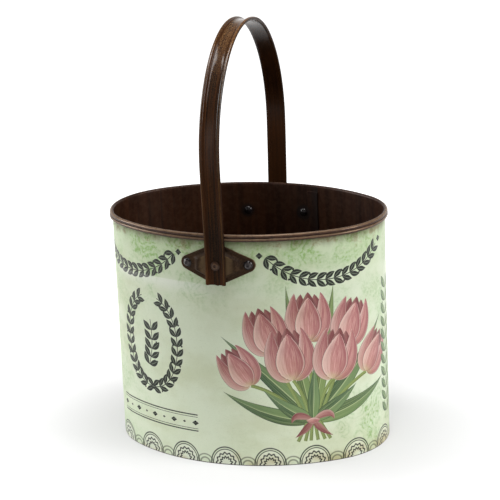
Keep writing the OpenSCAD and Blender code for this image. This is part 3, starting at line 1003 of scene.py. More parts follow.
column_u = np.linspace(lap_u - 2 * half_mm, lap_u, COLUMNS + 1)
row_v = np.linspace(low_mm, high_mm, ROWS + 1)
flat_points = np.stack(np.meshgrid(column_u, row_v, indexing="ij"), axis=-1).reshape(-1, 2)
quarters = [COLUMNS // 4, 3 * COLUMNS // 4]
quarter_lines = [(q * (ROWS + 1) + r, q * (ROWS + 1) + r + 1) for q in quarters for r in range(ROWS)]
outlines = []
for shape in shapes:
    loop = shape["outline"]
    area = np.sum(loop[:, 0] * np.roll(loop[:, 1], -1) - np.roll(loop[:, 0], -1) * loop[:, 1])
    loop = loop if area > 0 else loop[::-1]
    outlines.append(list(range(len(flat_points), len(flat_points) + len(loop))))
    flat_points = np.concatenate([flat_points, loop])
corners = [Vector(p) for p in flat_points]
cut = geometry.delaunay_2d_cdt(corners, quarter_lines, outlines, 0, CUT_CLOSE)
cut_points, _, cut_faces, _, _, owners = cut
uv = np.array([tuple(p) for p in cut_points])
triangles = np.array([list(f) for f in cut_faces])
topmost = np.array([max(found) if found else -1 for found in owners])
print(f"cut into {len(triangles)} triangles, {np.sum(topmost >= 0)} of them inked")

# %% Bend it round the bucket
def on_sheet(u, v, offset):
    """Flat print coordinates to points in the frame, with the outward normals."""
    from_front = np.mod(np.asarray(u) + half_mm, 2 * half_mm) - half_mm
    spot, out = oval(turn_at(from_front * MM, wrap_out), offset)
    up = np.asarray(v)[:, None] * MM
    return np.concatenate([spot, up], axis=1), np.concatenate([out, 0 * up], axis=1)


def edge_points(v):
    """Points of the sheet's lower or upper edge, in order, without the welded last one."""
    found = np.where(np.abs(uv[:, 1] - v) < ON_EDGE)[0]
    return found[np.argsort(uv[found, 0])][:COLUMNS]


outer, outer_normal = on_sheet(uv[:, 0], uv[:, 1], wrap_out)
inner, _ = on_sheet(np.tile(column_u[:-1], 2), np.repeat([low_mm, high_mm], COLUMNS), wrap_out - WRAP_T)
at_start = np.where(np.abs(uv[:, 0] - column_u[0]) < ON_EDGE)[0]
at_finish = np.where(np.abs(uv[:, 0] - column_u[-1]) < ON_EDGE)[0]
weld = np.arange(len(uv))
for i in at_finish:
    weld[i] = at_start[np.abs(uv[at_start, 1] - uv[i, 1]).argmin()]
print("points welded where the ends meet:", len(at_finish))

# %% Close its back and edges
low_edge = edge_points(low_mm)
high_edge = edge_points(high_mm)
low_inner = len(uv) + np.arange(COLUMNS)
high_inner = low_inner + COLUMNS
after = np.roll(np.arange(COLUMNS), -1)
strips = np.concatenate([
    np.stack([low_inner, high_inner, high_inner[after], low_inner[after]], axis=-1),
    np.stack([low_edge, low_inner, low_inner[after], low_edge[after]], axis=-1),
    np.stack([high_edge, high_edge[after], high_inner[after], high_inner], axis=-1),
])
all_points = np.concatenate([outer, inner])
kept = np.unique(np.concatenate([weld[triangles].ravel(), strips.ravel()]))
number = np.zeros(len(all_points), int)
number[kept] = np.arange(len(kept))
sleeve_faces = number[weld[triangles]].tolist() + number[strips].tolist()
sleeve_mesh = bpy.data.meshes.new("printed_sleeve")
sleeve_mesh.from_pydata(all_points[kept].tolist(), [], sleeve_faces)
mount(sleeve_mesh, "bucket", "printed_wrap")

# %% [markdown]
# Three maps go with the wrap: `wrap` holds the flat place in millimetres, `blade` holds the share along
# and across the shape, and `tone` makes neighbouring petals and leaves differ. All are stored per face
# corner, so they may jump at an outline without a blur. A fourth, `OFBake`, lays the back half of the
# wrap above the front half in one square.

# %% Maps of the print
corner_uv = uv[triangles]
share_along = np.zeros(triangles.shape)
share_across = np.zeros(triangles.shape)
tones = np.zeros(triangles.shape)
for i, shape in enumerate(shapes):
    mine = topmost == i
    if mine.any():
        s, t = across_blade(shape, corner_uv[mine].reshape(-1, 2))
        share_along[mine] = s.reshape(-1, 3)
        share_across[mine] = t.reshape(-1, 3)
        tones[mine] = shape["tone"]
strip_uv = np.zeros((len(strips) * 4, 2))
wrap_map = np.concatenate([corner_uv.reshape(-1, 2), strip_uv])
blade_map = np.concatenate([np.stack([share_along, share_across], axis=-1).reshape(-1, 2), strip_uv])
tone_map = np.append(tones, strip_uv[:, 0])
print("face corners with maps:", len(wrap_map))

# %% A square map of the whole wrap
BAKE_MARGIN = 0.012
# The hidden back and edges of the wrap share one small patch between the two halves
HIDDEN_PATCH = np.array([[0.1, 0.495], [0.9, 0.495], [0.9, 0.505], [0.1, 0.505]])
from_lap = corner_uv[..., 0] - lap_u + half_mm
is_back = np.abs(from_lap.mean(axis=1, keepdims=True)) > half_mm / 2
from_side = np.where(is_back, np.mod(from_lap + 2 * half_mm, 2 * half_mm) - half_mm, from_lap)
bake_x = BAKE_MARGIN + (from_side / half_mm + 0.5) * (1 - 2 * BAKE_MARGIN)
share_up = (corner_uv[..., 1] - low_mm) / (high_mm - low_mm)
bake_y = share_up * (0.5 - 2 * BAKE_MARGIN) + BAKE_MARGIN + 0.5 * is_back
bake_corners = np.stack([bake_x, bake_y], axis=-1).reshape(-1, 2)
bake_map = np.concatenate([bake_corners, np.tile(HIDDEN_PATCH, (len(strips), 1))])
for name, values in (("wrap", wrap_map), ("blade", blade_map), ("OFBake", bake_map)):
    layer = sleeve_mesh.uv_layers.new(name=name)
    layer.data.foreach_set("uv", values.astype(np.float32).ravel())
tone_layer = sleeve_mesh.attributes.new("tone", "FLOAT", "CORNER")
tone_layer.data.foreach_set("value", tone_map.astype(np.float32))
print("maps:", [layer.name for layer in sleeve_mesh.uv_layers], tone_layer.name)

# %% Inks and normals of the wrap
INKS = ["ground", "petal", "leaf", "ink"]
ink_index = [INKS.index(shapes[i]["ink"]) if i >= 0 else 0 for i in topmost] + [0] * len(strips)
_, strip_out = on_sheet(column_u[:-1], np.zeros(COLUMNS), wrap_out)
strip_normals = np.repeat(-strip_out, 4, axis=0)
down = np.tile([0.0, 0.0, -1.0], (4 * COLUMNS, 1))
normals = np.concatenate([outer_normal[triangles].reshape(-1, 3), strip_normals, down, -down])
sleeve_mesh.shade_smooth()
sleeve_mesh.normals_split_custom_set(normals.tolist())
print("inks:", {ink: ink_index.count(i) for i, ink in enumerate(INKS)})

# %% [markdown]
# ## Building shaders in code
# A material is a tree of nodes. They could be wired by hand in the shader editor, but in code one recipe
# serves many materials. `place` makes a node, fills or links its inputs and gives back one of its
# outputs. `follow` does the same in the tree that the inputs come from, so that a finish reads like a
# sum. Colours are written as they look on screen and turned into the linear values that nodes use.

# %% Helpers for nodes
def tint(code):
    """A colour such as 3a241a as linear red, green, blue and alpha, by the sRGB curve."""
    parts = [int(code[i:i + 2], 16) / 255 for i in (0, 2, 4)]
    return (*[c / 12.92 if c <= 0.04045 else ((c + 0.055) / 1.055) ** 2.4 for c in parts], 1.0)


def link(value, socket):
    """Links an output to an input of the same tree."""
    value.id_data.links.new(value, socket)


def fill(node, inputs):
    """Links an input to another node's output, or sets it to a plain value."""
    for name, value in inputs.items():
        if isinstance(value, bpy.types.NodeSocket):
            link(value, node.inputs[name])
        else:
            node.inputs[name].default_value = value


def place(tree, kind, inputs=None, out=0, **settings):
    """Adds a node to a tree, sets it up and returns one of its outputs."""
    node = tree.nodes.new("ShaderNode" + kind)
    for name, value in settings.items():
        setattr(node, name, value)
    fill(node, inputs or {})
    return node.outputs[out]


def follow(kind, inputs, out=0, **settings):
    """Adds a node to the tree that its linked inputs come from."""
    tree = next(value.id_data for value in inputs.values() if isinstance(value, bpy.types.NodeSocket))
    return place(tree, kind, inputs, out, **settings)


print("a lacquer brown in linear light:", [round(c, 3) for c in tint("3a241a")])

# %% Helpers for sums and colours
def calc(operation, a, b=0.0, c=0.0):
    """A sum, or another operation on up to three values."""
    return follow("Math", {0: a, 1: b, 2: c}, operation=operation)


def times(a, b):
    """a times b."""
    return calc("MULTIPLY", a, b)


def times_plus(a, b, c):
    """a times b, plus c."""
    return calc("MULTIPLY_ADD", a, b, c)


def larger(a, b):
    """The larger of two values."""
    return calc("MAXIMUM", a, b)


def step(value, low, high, to_low=0.0, to_high=1.0):
    """A smooth step of a value from low to high."""
    ends = {"Value": value, "From Min": low, "From Max": high, "To Min": to_low, "To Max": to_high}
    return follow("MapRange", ends, interpolation_type="SMOOTHSTEP")


def mix(share, a, b, how="MIX"):
    """Colour a changed towards colour b by a share."""
    return follow("Mix", {0: share, 6: a, 7: b}, out=2, data_type="RGBA", blend_type=how)


def wash_over(colour, code, value, low, high, share, how="MIX"):
    """A colour washed over with another, up to a share, as a value goes from low to high."""
    return mix(step(value, low, high, 0.0, share), colour, tint(code), how)


print("sums and colours: calc, times, times_plus, larger, step, mix, wash_over")

# %% Helpers for places and noise
def object_place(tree):
    """The place on the object, in metres."""
    return place(tree, "TexCoord", out=3)


def point_value(tree, name):
    """A number stored with the mesh."""
    return place(tree, "Attribute", out=2, attribute_name=name)


def xyz(vector):
    """The three parts of a vector."""
    return follow("SeparateXYZ", {0: vector}).node.outputs


def scaled(vector, factors):
    """A vector stretched along its three axes."""
    return follow("VectorMath", {0: vector, 1: factors}, operation="MULTIPLY")


def distance(x, y):
    """Distance from a centre, from two offsets."""
    return calc("SQRT", times_plus(x, x, times(y, y)))


def grain(vector, scale, detail=3.0, rough=0.55):
    """A noise value about 0.5."""
    return follow("TexNoise", {"Vector": vector, "Scale": scale, "Detail": detail, "Roughness": rough})


print("places and noise: object_place, point_value, xyz, scaled, distance, grain")

# %% Helpers for groups and materials
def new_group(name, inputs, outputs):
    """A node group with named sockets. Returns the tree, what comes in and what goes out."""
    tree = bpy.data.node_groups.new(name, "ShaderNodeTree")
    for label, kind, value in inputs:
        socket = tree.interface.new_socket(label, in_out="INPUT", socket_type="NodeSocket" + kind)
        if value is not None:
            socket.default_value = value
    for label, kind in outputs:
        tree.interface.new_socket(label, in_out="OUTPUT", socket_type="NodeSocket" + kind)
    return tree, tree.nodes.new("NodeGroupInput").outputs, tree.nodes.new("NodeGroupOutput").inputs


def use_group(tree, group, inputs):
    """Places a group in a material and returns its outputs by name."""
    node = tree.nodes.new("ShaderNodeGroup")
    node.node_tree = group
    fill(node, inputs)
    return node.outputs


def inputs_of(tree, kind):
    """The inputs of a material's shader or group."""
    return next(node for node in tree.nodes if node.type == kind).inputs


def new_material(name):
    """An empty material with its Principled shader. Returns material, tree and the shader's inputs."""
    material = bpy.data.materials.new(name)
    material.use_nodes = True
    return material, material.node_tree, inputs_of(material.node_tree, "BSDF_PRINCIPLED")


print("groups and materials: new_group, use_group, inputs_of, new_material")

# %% [markdown]
# ## Brown lacquer
# All the metal is tin with an antique brown lacquer: dark where its crest value is below zero, which is
# mostly painted shade, faintly streaked the way it was brushed, mottled with rust brown, and rubbed to a
# paler brown on the crests. Several materials share this, so it is a node group. Each material gives it
# its own colours and the stretch of its streaks.

# %% The lacquer group
lacquer, given, put = new_group("brown_lacquer", [
    ("Streak vector", "Vector", None), ("Streaks", "Float", 0.5), ("Crest", "Float", 0.0),
    ("Dark", "Color", tint("24150f")), ("Brown", "Color", tint("452b1e")), ("Worn", "Color", tint("8a6048")),
    ("Wear", "Float", 0.6), ("Mottle", "Float", 0.5), ("Specks", "Float", 820.0), ("Dull", "Float", 0.34),
], [("Color", "Color"), ("Roughness", "Float"), ("Height", "Float")])
where = object_place(lacquer)
streak = grain(given["Streak vector"], 1.0, 4.0, 0.6)
cloud = grain(where, 16.0, 3.0, 0.5)
blotch = grain(where, 240.0, 5.0, 0.62)
speck = grain(where, given["Specks"], 3.0, 0.65)

streak_part = times(step(streak, 0.34, 0.66, -0.5, 0.5), given["Streaks"])
cloud_part = step(cloud, 0.3, 0.7, 0.25, 0.65)
base_brown = mix(calc("ADD", streak_part, cloud_part), given["Dark"], given["Brown"])
rust_share = times(step(speck, 0.44, 0.58), given["Mottle"])
mottled = mix(rust_share, base_brown, given["Worn"])

ragged = calc("ADD", given["Crest"], times_plus(blotch, 0.9, -0.45))
rubbed = times(step(ragged, 0.30, 0.95), given["Wear"])
worn_colour = mix(rubbed, mottled, given["Worn"])
# Below zero the crest paints shade, towards near black
hollow = step(given["Crest"], 0.0, -0.9, 0.0, 0.8)
link(mix(hollow, worn_colour, tint("0e0806")), put["Color"])

smudge = times_plus(streak, 0.20, times_plus(blotch, 0.16, -0.18))
dull = calc("ADD", given["Dull"], times_plus(hollow, 0.2, smudge))
link(times_plus(rubbed, -0.14, dull), put["Roughness"])
speck_height = times(speck, 0.12)
link(times_plus(streak, 0.6, speck_height), put["Height"])
print("group:", lacquer.name, len(lacquer.nodes), "nodes")

# %% A lacquered metal
RELIEF_H = 0.2 * MM


def lacquered(name, streak_scale, look, metallic, relief, shine):
    """A lacquered metal. streak_scale stretches its streaks along X, Y and Z, shine is its specular level."""
    material, tree, shader = new_material(name)
    values = {key: tint(value) if isinstance(value, str) else value for key, value in look.items()}
    values["Streak vector"] = scaled(object_place(tree), streak_scale)
    values["Crest"] = point_value(tree, "crest")
    made = use_group(tree, lacquer, values)
    link(made["Color"], shader["Base Color"])
    link(made["Roughness"], shader["Roughness"])
    shader["Metallic"].default_value = metallic
    shader["Specular IOR Level"].default_value = shine
    bumped = follow("Bump", {"Height": made["Height"], "Strength": relief, "Distance": RELIEF_H})
    link(bumped, shader["Normal"])
    return material


print(f"lacquer relief: {RELIEF_H / MM:.1f} mm")

# %% Looks of the metal
wall_look = {"Dark": "220f07", "Brown": "3d2110", "Worn": "775f49", "Wear": 0.85, "Mottle": 0.06,
             "Specks": 300.0, "Streaks": 0.6, "Dull": 0.40}
base_look = {"Dark": "2b1a12", "Brown": "422a1c", "Worn": "5a3d2c", "Wear": 0.0, "Mottle": 0.2,
             "Streaks": 0.4, "Dull": 0.45}
strap_look = {"Dark": "160a04", "Brown": "462711", "Worn": "8d6840", "Wear": 0.22, "Specks": 1300.0}
plate_look = {"Dark": "1f130b", "Brown": "392717", "Worn": "6b563d", "Wear": 0.75, "Mottle": 0.12,
              "Streaks": 0.5, "Dull": 0.46}
rivet_look = {"Dark": "100d0e", "Brown": "201b1c", "Worn": "77706e", "Wear": 0.3, "Mottle": 0.1,
              "Streaks": 0.4, "Dull": 0.20}
pivot_look = {"Dark": "24160f", "Brown": "452e20", "Worn": "6d5440", "Wear": 0.45, "Mottle": 0.15,
              "Streaks": 0.4, "Dull": 0.34}
# Each finish: its name, the stretch of its streaks, its look, then metallic, relief and shine
wall_finish = lacquered("rim_and_inside_lacquer", (260, 260, 9), wall_look, 0.2, 0.15, 0.25)
base_finish = lacquered("base_lacquer", (40, 220, 40), base_look, 0.25, 0.3, 0.3)
strap_finish = lacquered("strap_lacquer", (430, 9, 9), strap_look, 0.0, 0.30, 0.05)
plate_finish = lacquered("plate_lacquer", (120, 120, 150), plate_look, 0.0, 0.3, 0.07)
rivet_finish = lacquered("wall_rivet_lacquer", (300, 300, 300), rivet_look, 0.3, 0.2, 0.25)
pivot_finish = lacquered("pivot_rivet_lacquer", (300, 300, 300), pivot_look, 0.1, 0.2, 0.15)
print("metal finishes:", [m.name for m in bpy.data.materials if m.name.endswith("lacquer")])

# %% [markdown]
# The strap isn't the same all over. Hands hold it at the crown, so there it is polished, with rust brown
# specks where the lacquer is rubbed thin, and the legs stay dull and dark. It could be painted as a
# map, but it depends only on the height up the strap and on the wear, so these two drive the finish.

# %% Where hands hold the strap
# Heights between which the strap changes from its legs to its crown
RUST_Z = (262 * MM, 298 * MM)
POLISH_Z = (190 * MM, 260 * MM)
COAT_Z = (200 * MM, 270 * MM)
tree = strap_finish.node_tree
strap_lacquer = inputs_of(tree, "GROUP")
shader = inputs_of(tree, "BSDF_PRINCIPLED")
height = xyz(object_place(tree))[2]
crest = point_value(tree, "crest")
on_face = step(crest, 0.02, 0.08, 0.25, 1.0)
rust = times(step(height, *RUST_Z, 0.05, 0.62), on_face)
link(rust, strap_lacquer["Mottle"])
link(times(on_face, 1.1), strap_lacquer["Streaks"])
link(step(height, *POLISH_Z, 0.40, 0.22), strap_lacquer["Dull"])
coat = times(step(height, *COAT_Z, 0.0, 0.9), step(crest, -0.25, 0.4))
link(coat, shader["Coat Weight"])
shader["Coat Roughness"].default_value = 0.16
print("strap finish:", len(tree.nodes), "nodes")

# %% [markdown]
# A ring of painted shade lies round the closed rivet ends inside. The ring is a distance from the
# rivets, and it is taken off the crest value, so the lacquer group treats it as one more hollow.

# %% Painted shade round the rivet ends
RING_SHADE_R = 7 * MM
tree = wall_finish.node_tree
spot_x, _, spot_z = xyz(object_place(tree))
from_rivet_x = calc("SUBTRACT", calc("ABSOLUTE", spot_x), ear_x)
from_rivet_z = calc("SUBTRACT", spot_z, pivot_z)
# A ring of painted shade round each closed rivet end
ring_shade = step(distance(from_rivet_x, from_rivet_z), RING_SHADE_R, WALL_TAIL[0], 0.0, 0.9)
crest_with_ring_shade = calc("SUBTRACT", point_value(tree, "crest"), ring_shade)
link(crest_with_ring_shade, inputs_of(tree, "GROUP")["Crest"])
print("wall finish:", len(tree.nodes), "nodes")

# %% [markdown]
# The base pan lies deep in the shade, and its CAD solid already has the right shape. So that node stays
# in the scene as it is and only gets a finish. All other nodes have been replaced by the meshes above.

# %% Put the finishes on
base = frame["nodes"]["base"]
base.data.materials.clear()
finished = [(wall_finish, [wall]), (base_finish, [base]), (strap_finish, [handle]), (plate_finish, plates),
            (rivet_finish, wall_rivets), (pivot_finish, pivot_rivets)]
for finish, pieces in finished:
    for piece in pieces:
        piece.data.materials.append(finish)
    print(f"{finish.name}: {len(pieces)} pieces")

# %% [markdown]
# ## Age on the print
# Ground and inks share one history: grime and painted shade under the rim, rust blots that run down from
# it, stains at the foot, faint clouds in the paper, a pale band of painted sheen, and a satin varnish that
# is a little uneven. That is the second node group. It takes a colour, the flat place on the wrap and the
# strength of the sheen band, and gives back the aged colour, the varnish's roughness and its fine relief.

# %% The age group
SHEEN_BAND_V = 131.0
aged, given, put = new_group("printed_age", [
    ("Color", "Color", tint("cfdcbf")), ("Wrap", "Vector", None), ("Crease", "Float", 0.1),
], [("Color", "Color"), ("Roughness", "Float"), ("Height", "Float")])
flat_u, flat_v, _ = xyz(given["Wrap"])
where = object_place(aged)
cloud = grain(scaled(where, (18, 18, 30)), 1.0, 4.0, 0.6)
fleck = grain(where, 1300.0, 3.0, 0.7)
smear = grain(scaled(where, (110, 110, 20)), 1.0, 5.0, 0.65)
blot = grain(where, 110.0, 5.0, 0.7)

clouded = wash_over(given["Color"], "cfcaa2", cloud, 0.42, 0.72, 0.30, "MULTIPLY")
flecked = wash_over(clouded, "a2a98a", fleck, 0.55, 0.75, 0.25, "MULTIPLY")
smeared_v = times_plus(smear, 9.0, flat_v)
# Grime and painted shade in a band just under the rim
grime_and_shade_under_rim = step(smeared_v, high_mm - 3.5, high_mm + 5.5, 0.0, 0.75)
grimed_and_shaded = mix(grime_and_shade_under_rim, flecked, tint("7c6a48"), "MULTIPLY")
run_down = step(flat_v, high_mm - 15.0, high_mm - 2.0, 0.0, 0.6)
blot_share = times(step(blot, 0.52, 0.64), run_down)
blotted = mix(blot_share, grimed_and_shaded, tint("c39a80"), "MULTIPLY")
risen_v = times_plus(smear, -14.0, flat_v)
foot_share = times(step(cloud, 0.44, 0.60), 0.6)
at_foot = times(step(risen_v, low_mm + 3.0, low_mm - 7.0), foot_share)
stained = mix(at_foot, blotted, tint("cdb277"), "MULTIPLY")
print("clouds, grime and stains:", len(aged.nodes), "nodes")

# %% Painted sheen band and varnish of the age group
# A pale band across the left of the front is a painted highlight; the varnish there is also a little glossier
above_sheen_band = times_plus(cloud, 5.0, calc("SUBTRACT", flat_v, SHEEN_BAND_V + 2.5))
below = times(step(above_sheen_band, 0.3, -0.8), step(above_sheen_band, -11.0, -1.0))
on_left = times(step(flat_u, -105.0, -80.0), step(flat_u, 12.0, -25.0))
sheen_band = times(below, on_left)
paled = mix(times(sheen_band, given["Crease"]), stained, tint("f3f5ee"))
link(paled, put["Color"])
satin = times_plus(grime_and_shade_under_rim, 0.3, times_plus(sheen_band, -0.1, 0.30))
link(times_plus(cloud, 0.18, satin), put["Roughness"])
link(times_plus(fleck, 0.3, smear), put["Height"])
print("group:", aged.name, len(aged.nodes), "nodes")

# %% Varnish over an ink
VARNISH_SHINE = 0.28
VARNISH_RELIEF = 0.12
VARNISH_H = 0.3 * MM


def varnish(tree, shader, colour, sheen_band=0.1):
    """Ages an ink's colour and puts it under the varnish."""
    wrap = place(tree, "UVMap", uv_map="wrap")
    made = use_group(tree, aged, {"Color": colour, "Wrap": wrap, "Crease": sheen_band})
    link(made["Color"], shader["Base Color"])
    link(made["Roughness"], shader["Roughness"])
    shader["Specular IOR Level"].default_value = VARNISH_SHINE
    relief = {"Height": made["Height"], "Strength": VARNISH_RELIEF, "Distance": VARNISH_H}
    link(follow("Bump", relief), shader["Normal"])


print(f"varnish relief: {VARNISH_H / MM:.1f} mm at {VARNISH_RELIEF:.0%}")

# %% [markdown]
# ## The mint ground
# The ground is a pale mint with a greener damask that is strongest under the rim and round the ends. A
# woven damask has feathered curls, so rings round scattered points are bent by a slow noise. Patches of
# it are left out and its edges are frayed, as a worn printing block leaves them.

# %% The damask
ground, tree, shader = new_material("mint_ground")
flat_u, flat_v, _ = xyz(place(tree, "UVMap", uv_map="wrap"))
where = scaled(object_place(tree), (1 / MM, 1 / MM, 1 / MM))
drift = follow("TexNoise", {"Vector": where, "Scale": 0.05, "Detail": 2.0}, out=1)
swirl = follow("VectorMath", {0: drift, 1: (34, 34, 34), 2: where}, operation="MULTIPLY_ADD")
fan = follow("TexVoronoi", {"Vector": swirl, "Scale": 0.06})
feathers = step(calc("SINE", times(fan, 24.0)), -0.2, 0.8)
patches = step(grain(where, 0.05, 3.0, 0.55), 0.36, 0.64)
drawn = step(grain(where, 0.014, 1.0, 0.5), 0.40, 0.60, 0.15, 0.55)
frayed = step(grain(where, 0.55, 4.0, 0.65), 0.38, 0.62, 0.55, 1.5)
curls = times(patches, times_plus(feathers, drawn, 0.40))
near_rim = step(flat_v, 100.0, 158.0, 0.06, 0.95)
round_end = calc("ABSOLUTE", calc("SINE", times(flat_u, math.pi / half_mm)))
near_end = step(round_end, 0.55, 1.0, 0.0, 0.65)
strength = larger(near_rim, near_end)
damask = times(times(curls, frayed), strength)
mint = mix(damask, tint("d9e2c9"), tint("86b062"))
mint = wash_over(mint, "b0c890", flat_v, 118.0, 160.0, 0.35)
print("damask:", len(tree.nodes), "nodes")

# %% [markdown]
# Along the foot runs the old lace border of scallops: rings round centres that repeat with a pitch.
# Rings are easier to draw in the shader than in the mesh, because a distance from a centre is all they
# need. Grey rings of a smaller kind lie behind the gaps between the big ones.

# %% Rings and scallops
SCALLOPS = 17
pitch = 2 * half_mm / SCALLOPS
# Half width, height and the height of the centre, in millimetres
BIG_SCALLOP = (11.2, 12.4, 1.0)
SMALL_SCALLOP = (6.4, 6.2, 0.5)


def ring(radius, at, width):
    """1 on a thin ring at a share of the radius, 0 off it."""
    return step(calc("ABSOLUTE", calc("SUBTRACT", radius, at)), width, 0.35 * width)


def scallop(size, shift):
    """Offsets from the nearest scallop's centre, as shares of its size."""
    part = calc("FRACT", times_plus(flat_u, 1 / pitch, shift))
    x = times_plus(part, pitch / size[0], -0.5 * pitch / size[0])
    y = times_plus(flat_v, 1 / size[1], -size[2] / size[1])
    return x, y


print(f"pitch of the scallops: {pitch:.1f} mm")

# %% The lace border
LACE_POINTS = 13.0
big_x, big_y = scallop(BIG_SCALLOP, 0.5)
big = distance(big_x, big_y)
small = distance(*scallop(SMALL_SCALLOP, 0.0))
round_big = times(calc("ARCTAN2", big_x, big_y), LACE_POINTS)
wavy = times_plus(calc("SINE", round_big), 0.045, big)
lace_ink = ring(big, 0.97, 0.055)
for radius, at, width in ((big, 0.84, 0.040), (wavy, 0.60, 0.075), (wavy, 0.36, 0.09)):
    lace_ink = larger(lace_ink, ring(radius, at, width))
grey_lace = larger(ring(small, 0.95, 0.12), ring(small, 0.55, 0.14))
mint = mix(times(grey_lace, 0.7), mint, tint("59634f"))
mint = wash_over(mint, "dfe4d2", big, 0.90, 0.80, 0.8)
mint = mix(times(lace_ink, 0.95), mint, tint("1a2019"))
# The painted sheen band shows more strongly on the ground than on the inks
varnish(tree, shader, mint, 0.45)
print("material:", ground.name, len(tree.nodes), "nodes")

# %% [markdown]
# ## The inks
# A botanical print is line and wash. Petals are a rose wash that pales to the edge, with fine veins along
# them and a thin outline. Leaves have a light midrib and one half darker than the other. The dark ink is
# slightly broken, as on rough paper. All of it is read from the `blade` map.

# %% Places on a blade
def blade_parts(tree):
    """The blade map, and from it the share along, the signed share across and the share from the spine."""
    at = place(tree, "UVMap", uv_map="blade")
    along, across, _ = xyz(at)
    return at, along, across, calc("ABSOLUTE", across)


def veins(at, tone, stretch):
    """Fine lines that run along a blade, other ones for each tone."""
    shift = follow("CombineXYZ", {2: times(tone, 37.0)})
    shifted = follow("VectorMath", {0: scaled(at, stretch), 1: shift}, operation="ADD")
    return grain(shifted, 1.0, 3.0, 0.6)


print("places on a blade: blade_parts, veins")

# %% Petals
petal_ink, tree, shader = new_material("petal_wash")
at, along, across, edge = blade_parts(tree)
tone = point_value(tree, "tone")
vein = veins(at, tone, (2.6, 16.0, 1.0))
wash = mix(step(along, 0.0, 0.24), tint("b9b27c"), tint("c18680"))
wash = wash_over(wash, "9c4d55", along, 0.2, 0.8, 0.75)
wash = wash_over(wash, "dcb0a6", vein, 0.38, 0.66, 0.8)
wash = wash_over(wash, "ead2c4", across, -0.1, -0.85, 0.5)
wash = wash_over(wash, "8a4149", across, 0.0, 0.9, 0.55)
wash = wash_over(wash, "ecd6c9", edge, 0.80, 0.93, 0.55)
wash = wash_over(wash, "863c48", tone, 0.80, 0.0, 0.75, "MULTIPLY")
wash = wash_over(wash, "55222b", edge, 0.92, 0.985, 0.8)
varnish(tree, shader, wash)
print("material:", petal_ink.name, len(tree.nodes), "nodes")

# %% Leaves
leaf_ink, tree, shader = new_material("leaf_wash")
at, along, across, edge = blade_parts(tree)
tone = point_value(tree, "tone")
vein = veins(at, tone, (1.6, 18.0, 1.0))
wash = mix(step(across, -0.06, 0.06), tint("3a5333"), tint("6f8a57"))
wash = wash_over(wash, "456357", along, 0.1, 1.0, 0.45)
wash = wash_over(wash, "93a772", vein, 0.40, 0.68, 0.6)
wash = wash_over(wash, "c4d09e", edge, 0.09, 0.03, 0.65)
wash = wash_over(wash, "9aa653", tone, 0.3, 1.0, 0.5)
wash = wash_over(wash, "1c2b1f", edge, 0.90, 0.98, 0.8)
varnish(tree, shader, wash)
print("material:", leaf_ink.name, len(tree.nodes), "nodes")

# %% Dark ink
dark_ink, tree, shader = new_material("dark_ink")
_, _, _, edge = blade_parts(tree)
broken = grain(place(tree, "UVMap", uv_map="wrap"), 2.6, 3.0, 0.7)
line_ink = wash_over(tint("161b15"), "7d8b73", broken, 0.54, 0.74, 0.5)
line_ink = wash_over(line_ink, "9dab90", edge, 0.16, 0.04, 0.5)
varnish(tree, shader, line_ink)

for ink in (ground, petal_ink, leaf_ink, dark_ink):
    sleeve_mesh.materials.append(ink)
sleeve_mesh.polygons.foreach_set("material_index", ink_index)
print("print materials:", [m.name for m in sleeve_mesh.materials])

# %% [markdown]
# ## Camera
# The camera looks down a little, from the right of the front, through a long lens. The picture is
# slightly turned, so the camera rolls by the same angle. The frame is square, and a small shift of the
# lens puts the bucket where the photograph has it.

# %% Camera
FRAME_PX = 500
FOCAL_PX = 1910.2
AZIMUTH = math.radians(18.06)
ELEVATION = math.radians(15.60)
ROLL = math.radians(-2.37)
DISTANCE = 1.350
AIM_Z = 0.1499
AIM_PX = (248.1, 229.6)
SENSOR_MM = 36.0

level = math.cos(ELEVATION)
back = Vector((math.sin(AZIMUTH) * level, -math.cos(AZIMUTH) * level, math.sin(ELEVATION)))
lens = bpy.data.cameras.new("camera")
lens.sensor_width = SENSOR_MM
lens.lens = FOCAL_PX / FRAME_PX * SENSOR_MM
lens.shift_x = (FRAME_PX / 2 - AIM_PX[0]) / FRAME_PX
lens.shift_y = (AIM_PX[1] - FRAME_PX / 2) / FRAME_PX
camera = add_object("camera", lens)
camera.location = Vector((0, 0, AIM_Z)) + back * DISTANCE
camera.rotation_mode = "QUATERNION"
camera.rotation_quaternion = (-back).to_track_quat("-Z", "Y") @ Quaternion((0, 0, 1), ROLL)
bpy.context.scene.camera = camera
print("camera at", [round(x, 3) for x in camera.location])

# %% [markdown]
# ## Floor and background
# The photograph is a studio shot on white. The floor is a pale sheet that keeps the shadow and turns
# white with distance. Whiteness that lit the bucket too would wash its colours out, so floor and world
# are white only for rays that come straight from the camera or from a reflection. Reflections also see
# a dim ceiling above the white backdrop, as in a real studio.

# %% Floor
FLOOR_HALF = 3.0
# Grey and glow of the floor as it is seen, then its greys as it lights the bucket from near and far
FLOOR_SEEN = 0.45
FLOOR_GLOW = 0.37
FLOOR_NEAR = 0.9
FLOOR_FAR = 0.2
WHITE = (1, 1, 1, 1)


def grey(shade):
    """A neutral colour, from 0 for black to 1 for white."""
    return (shade, shade, shade, 1)


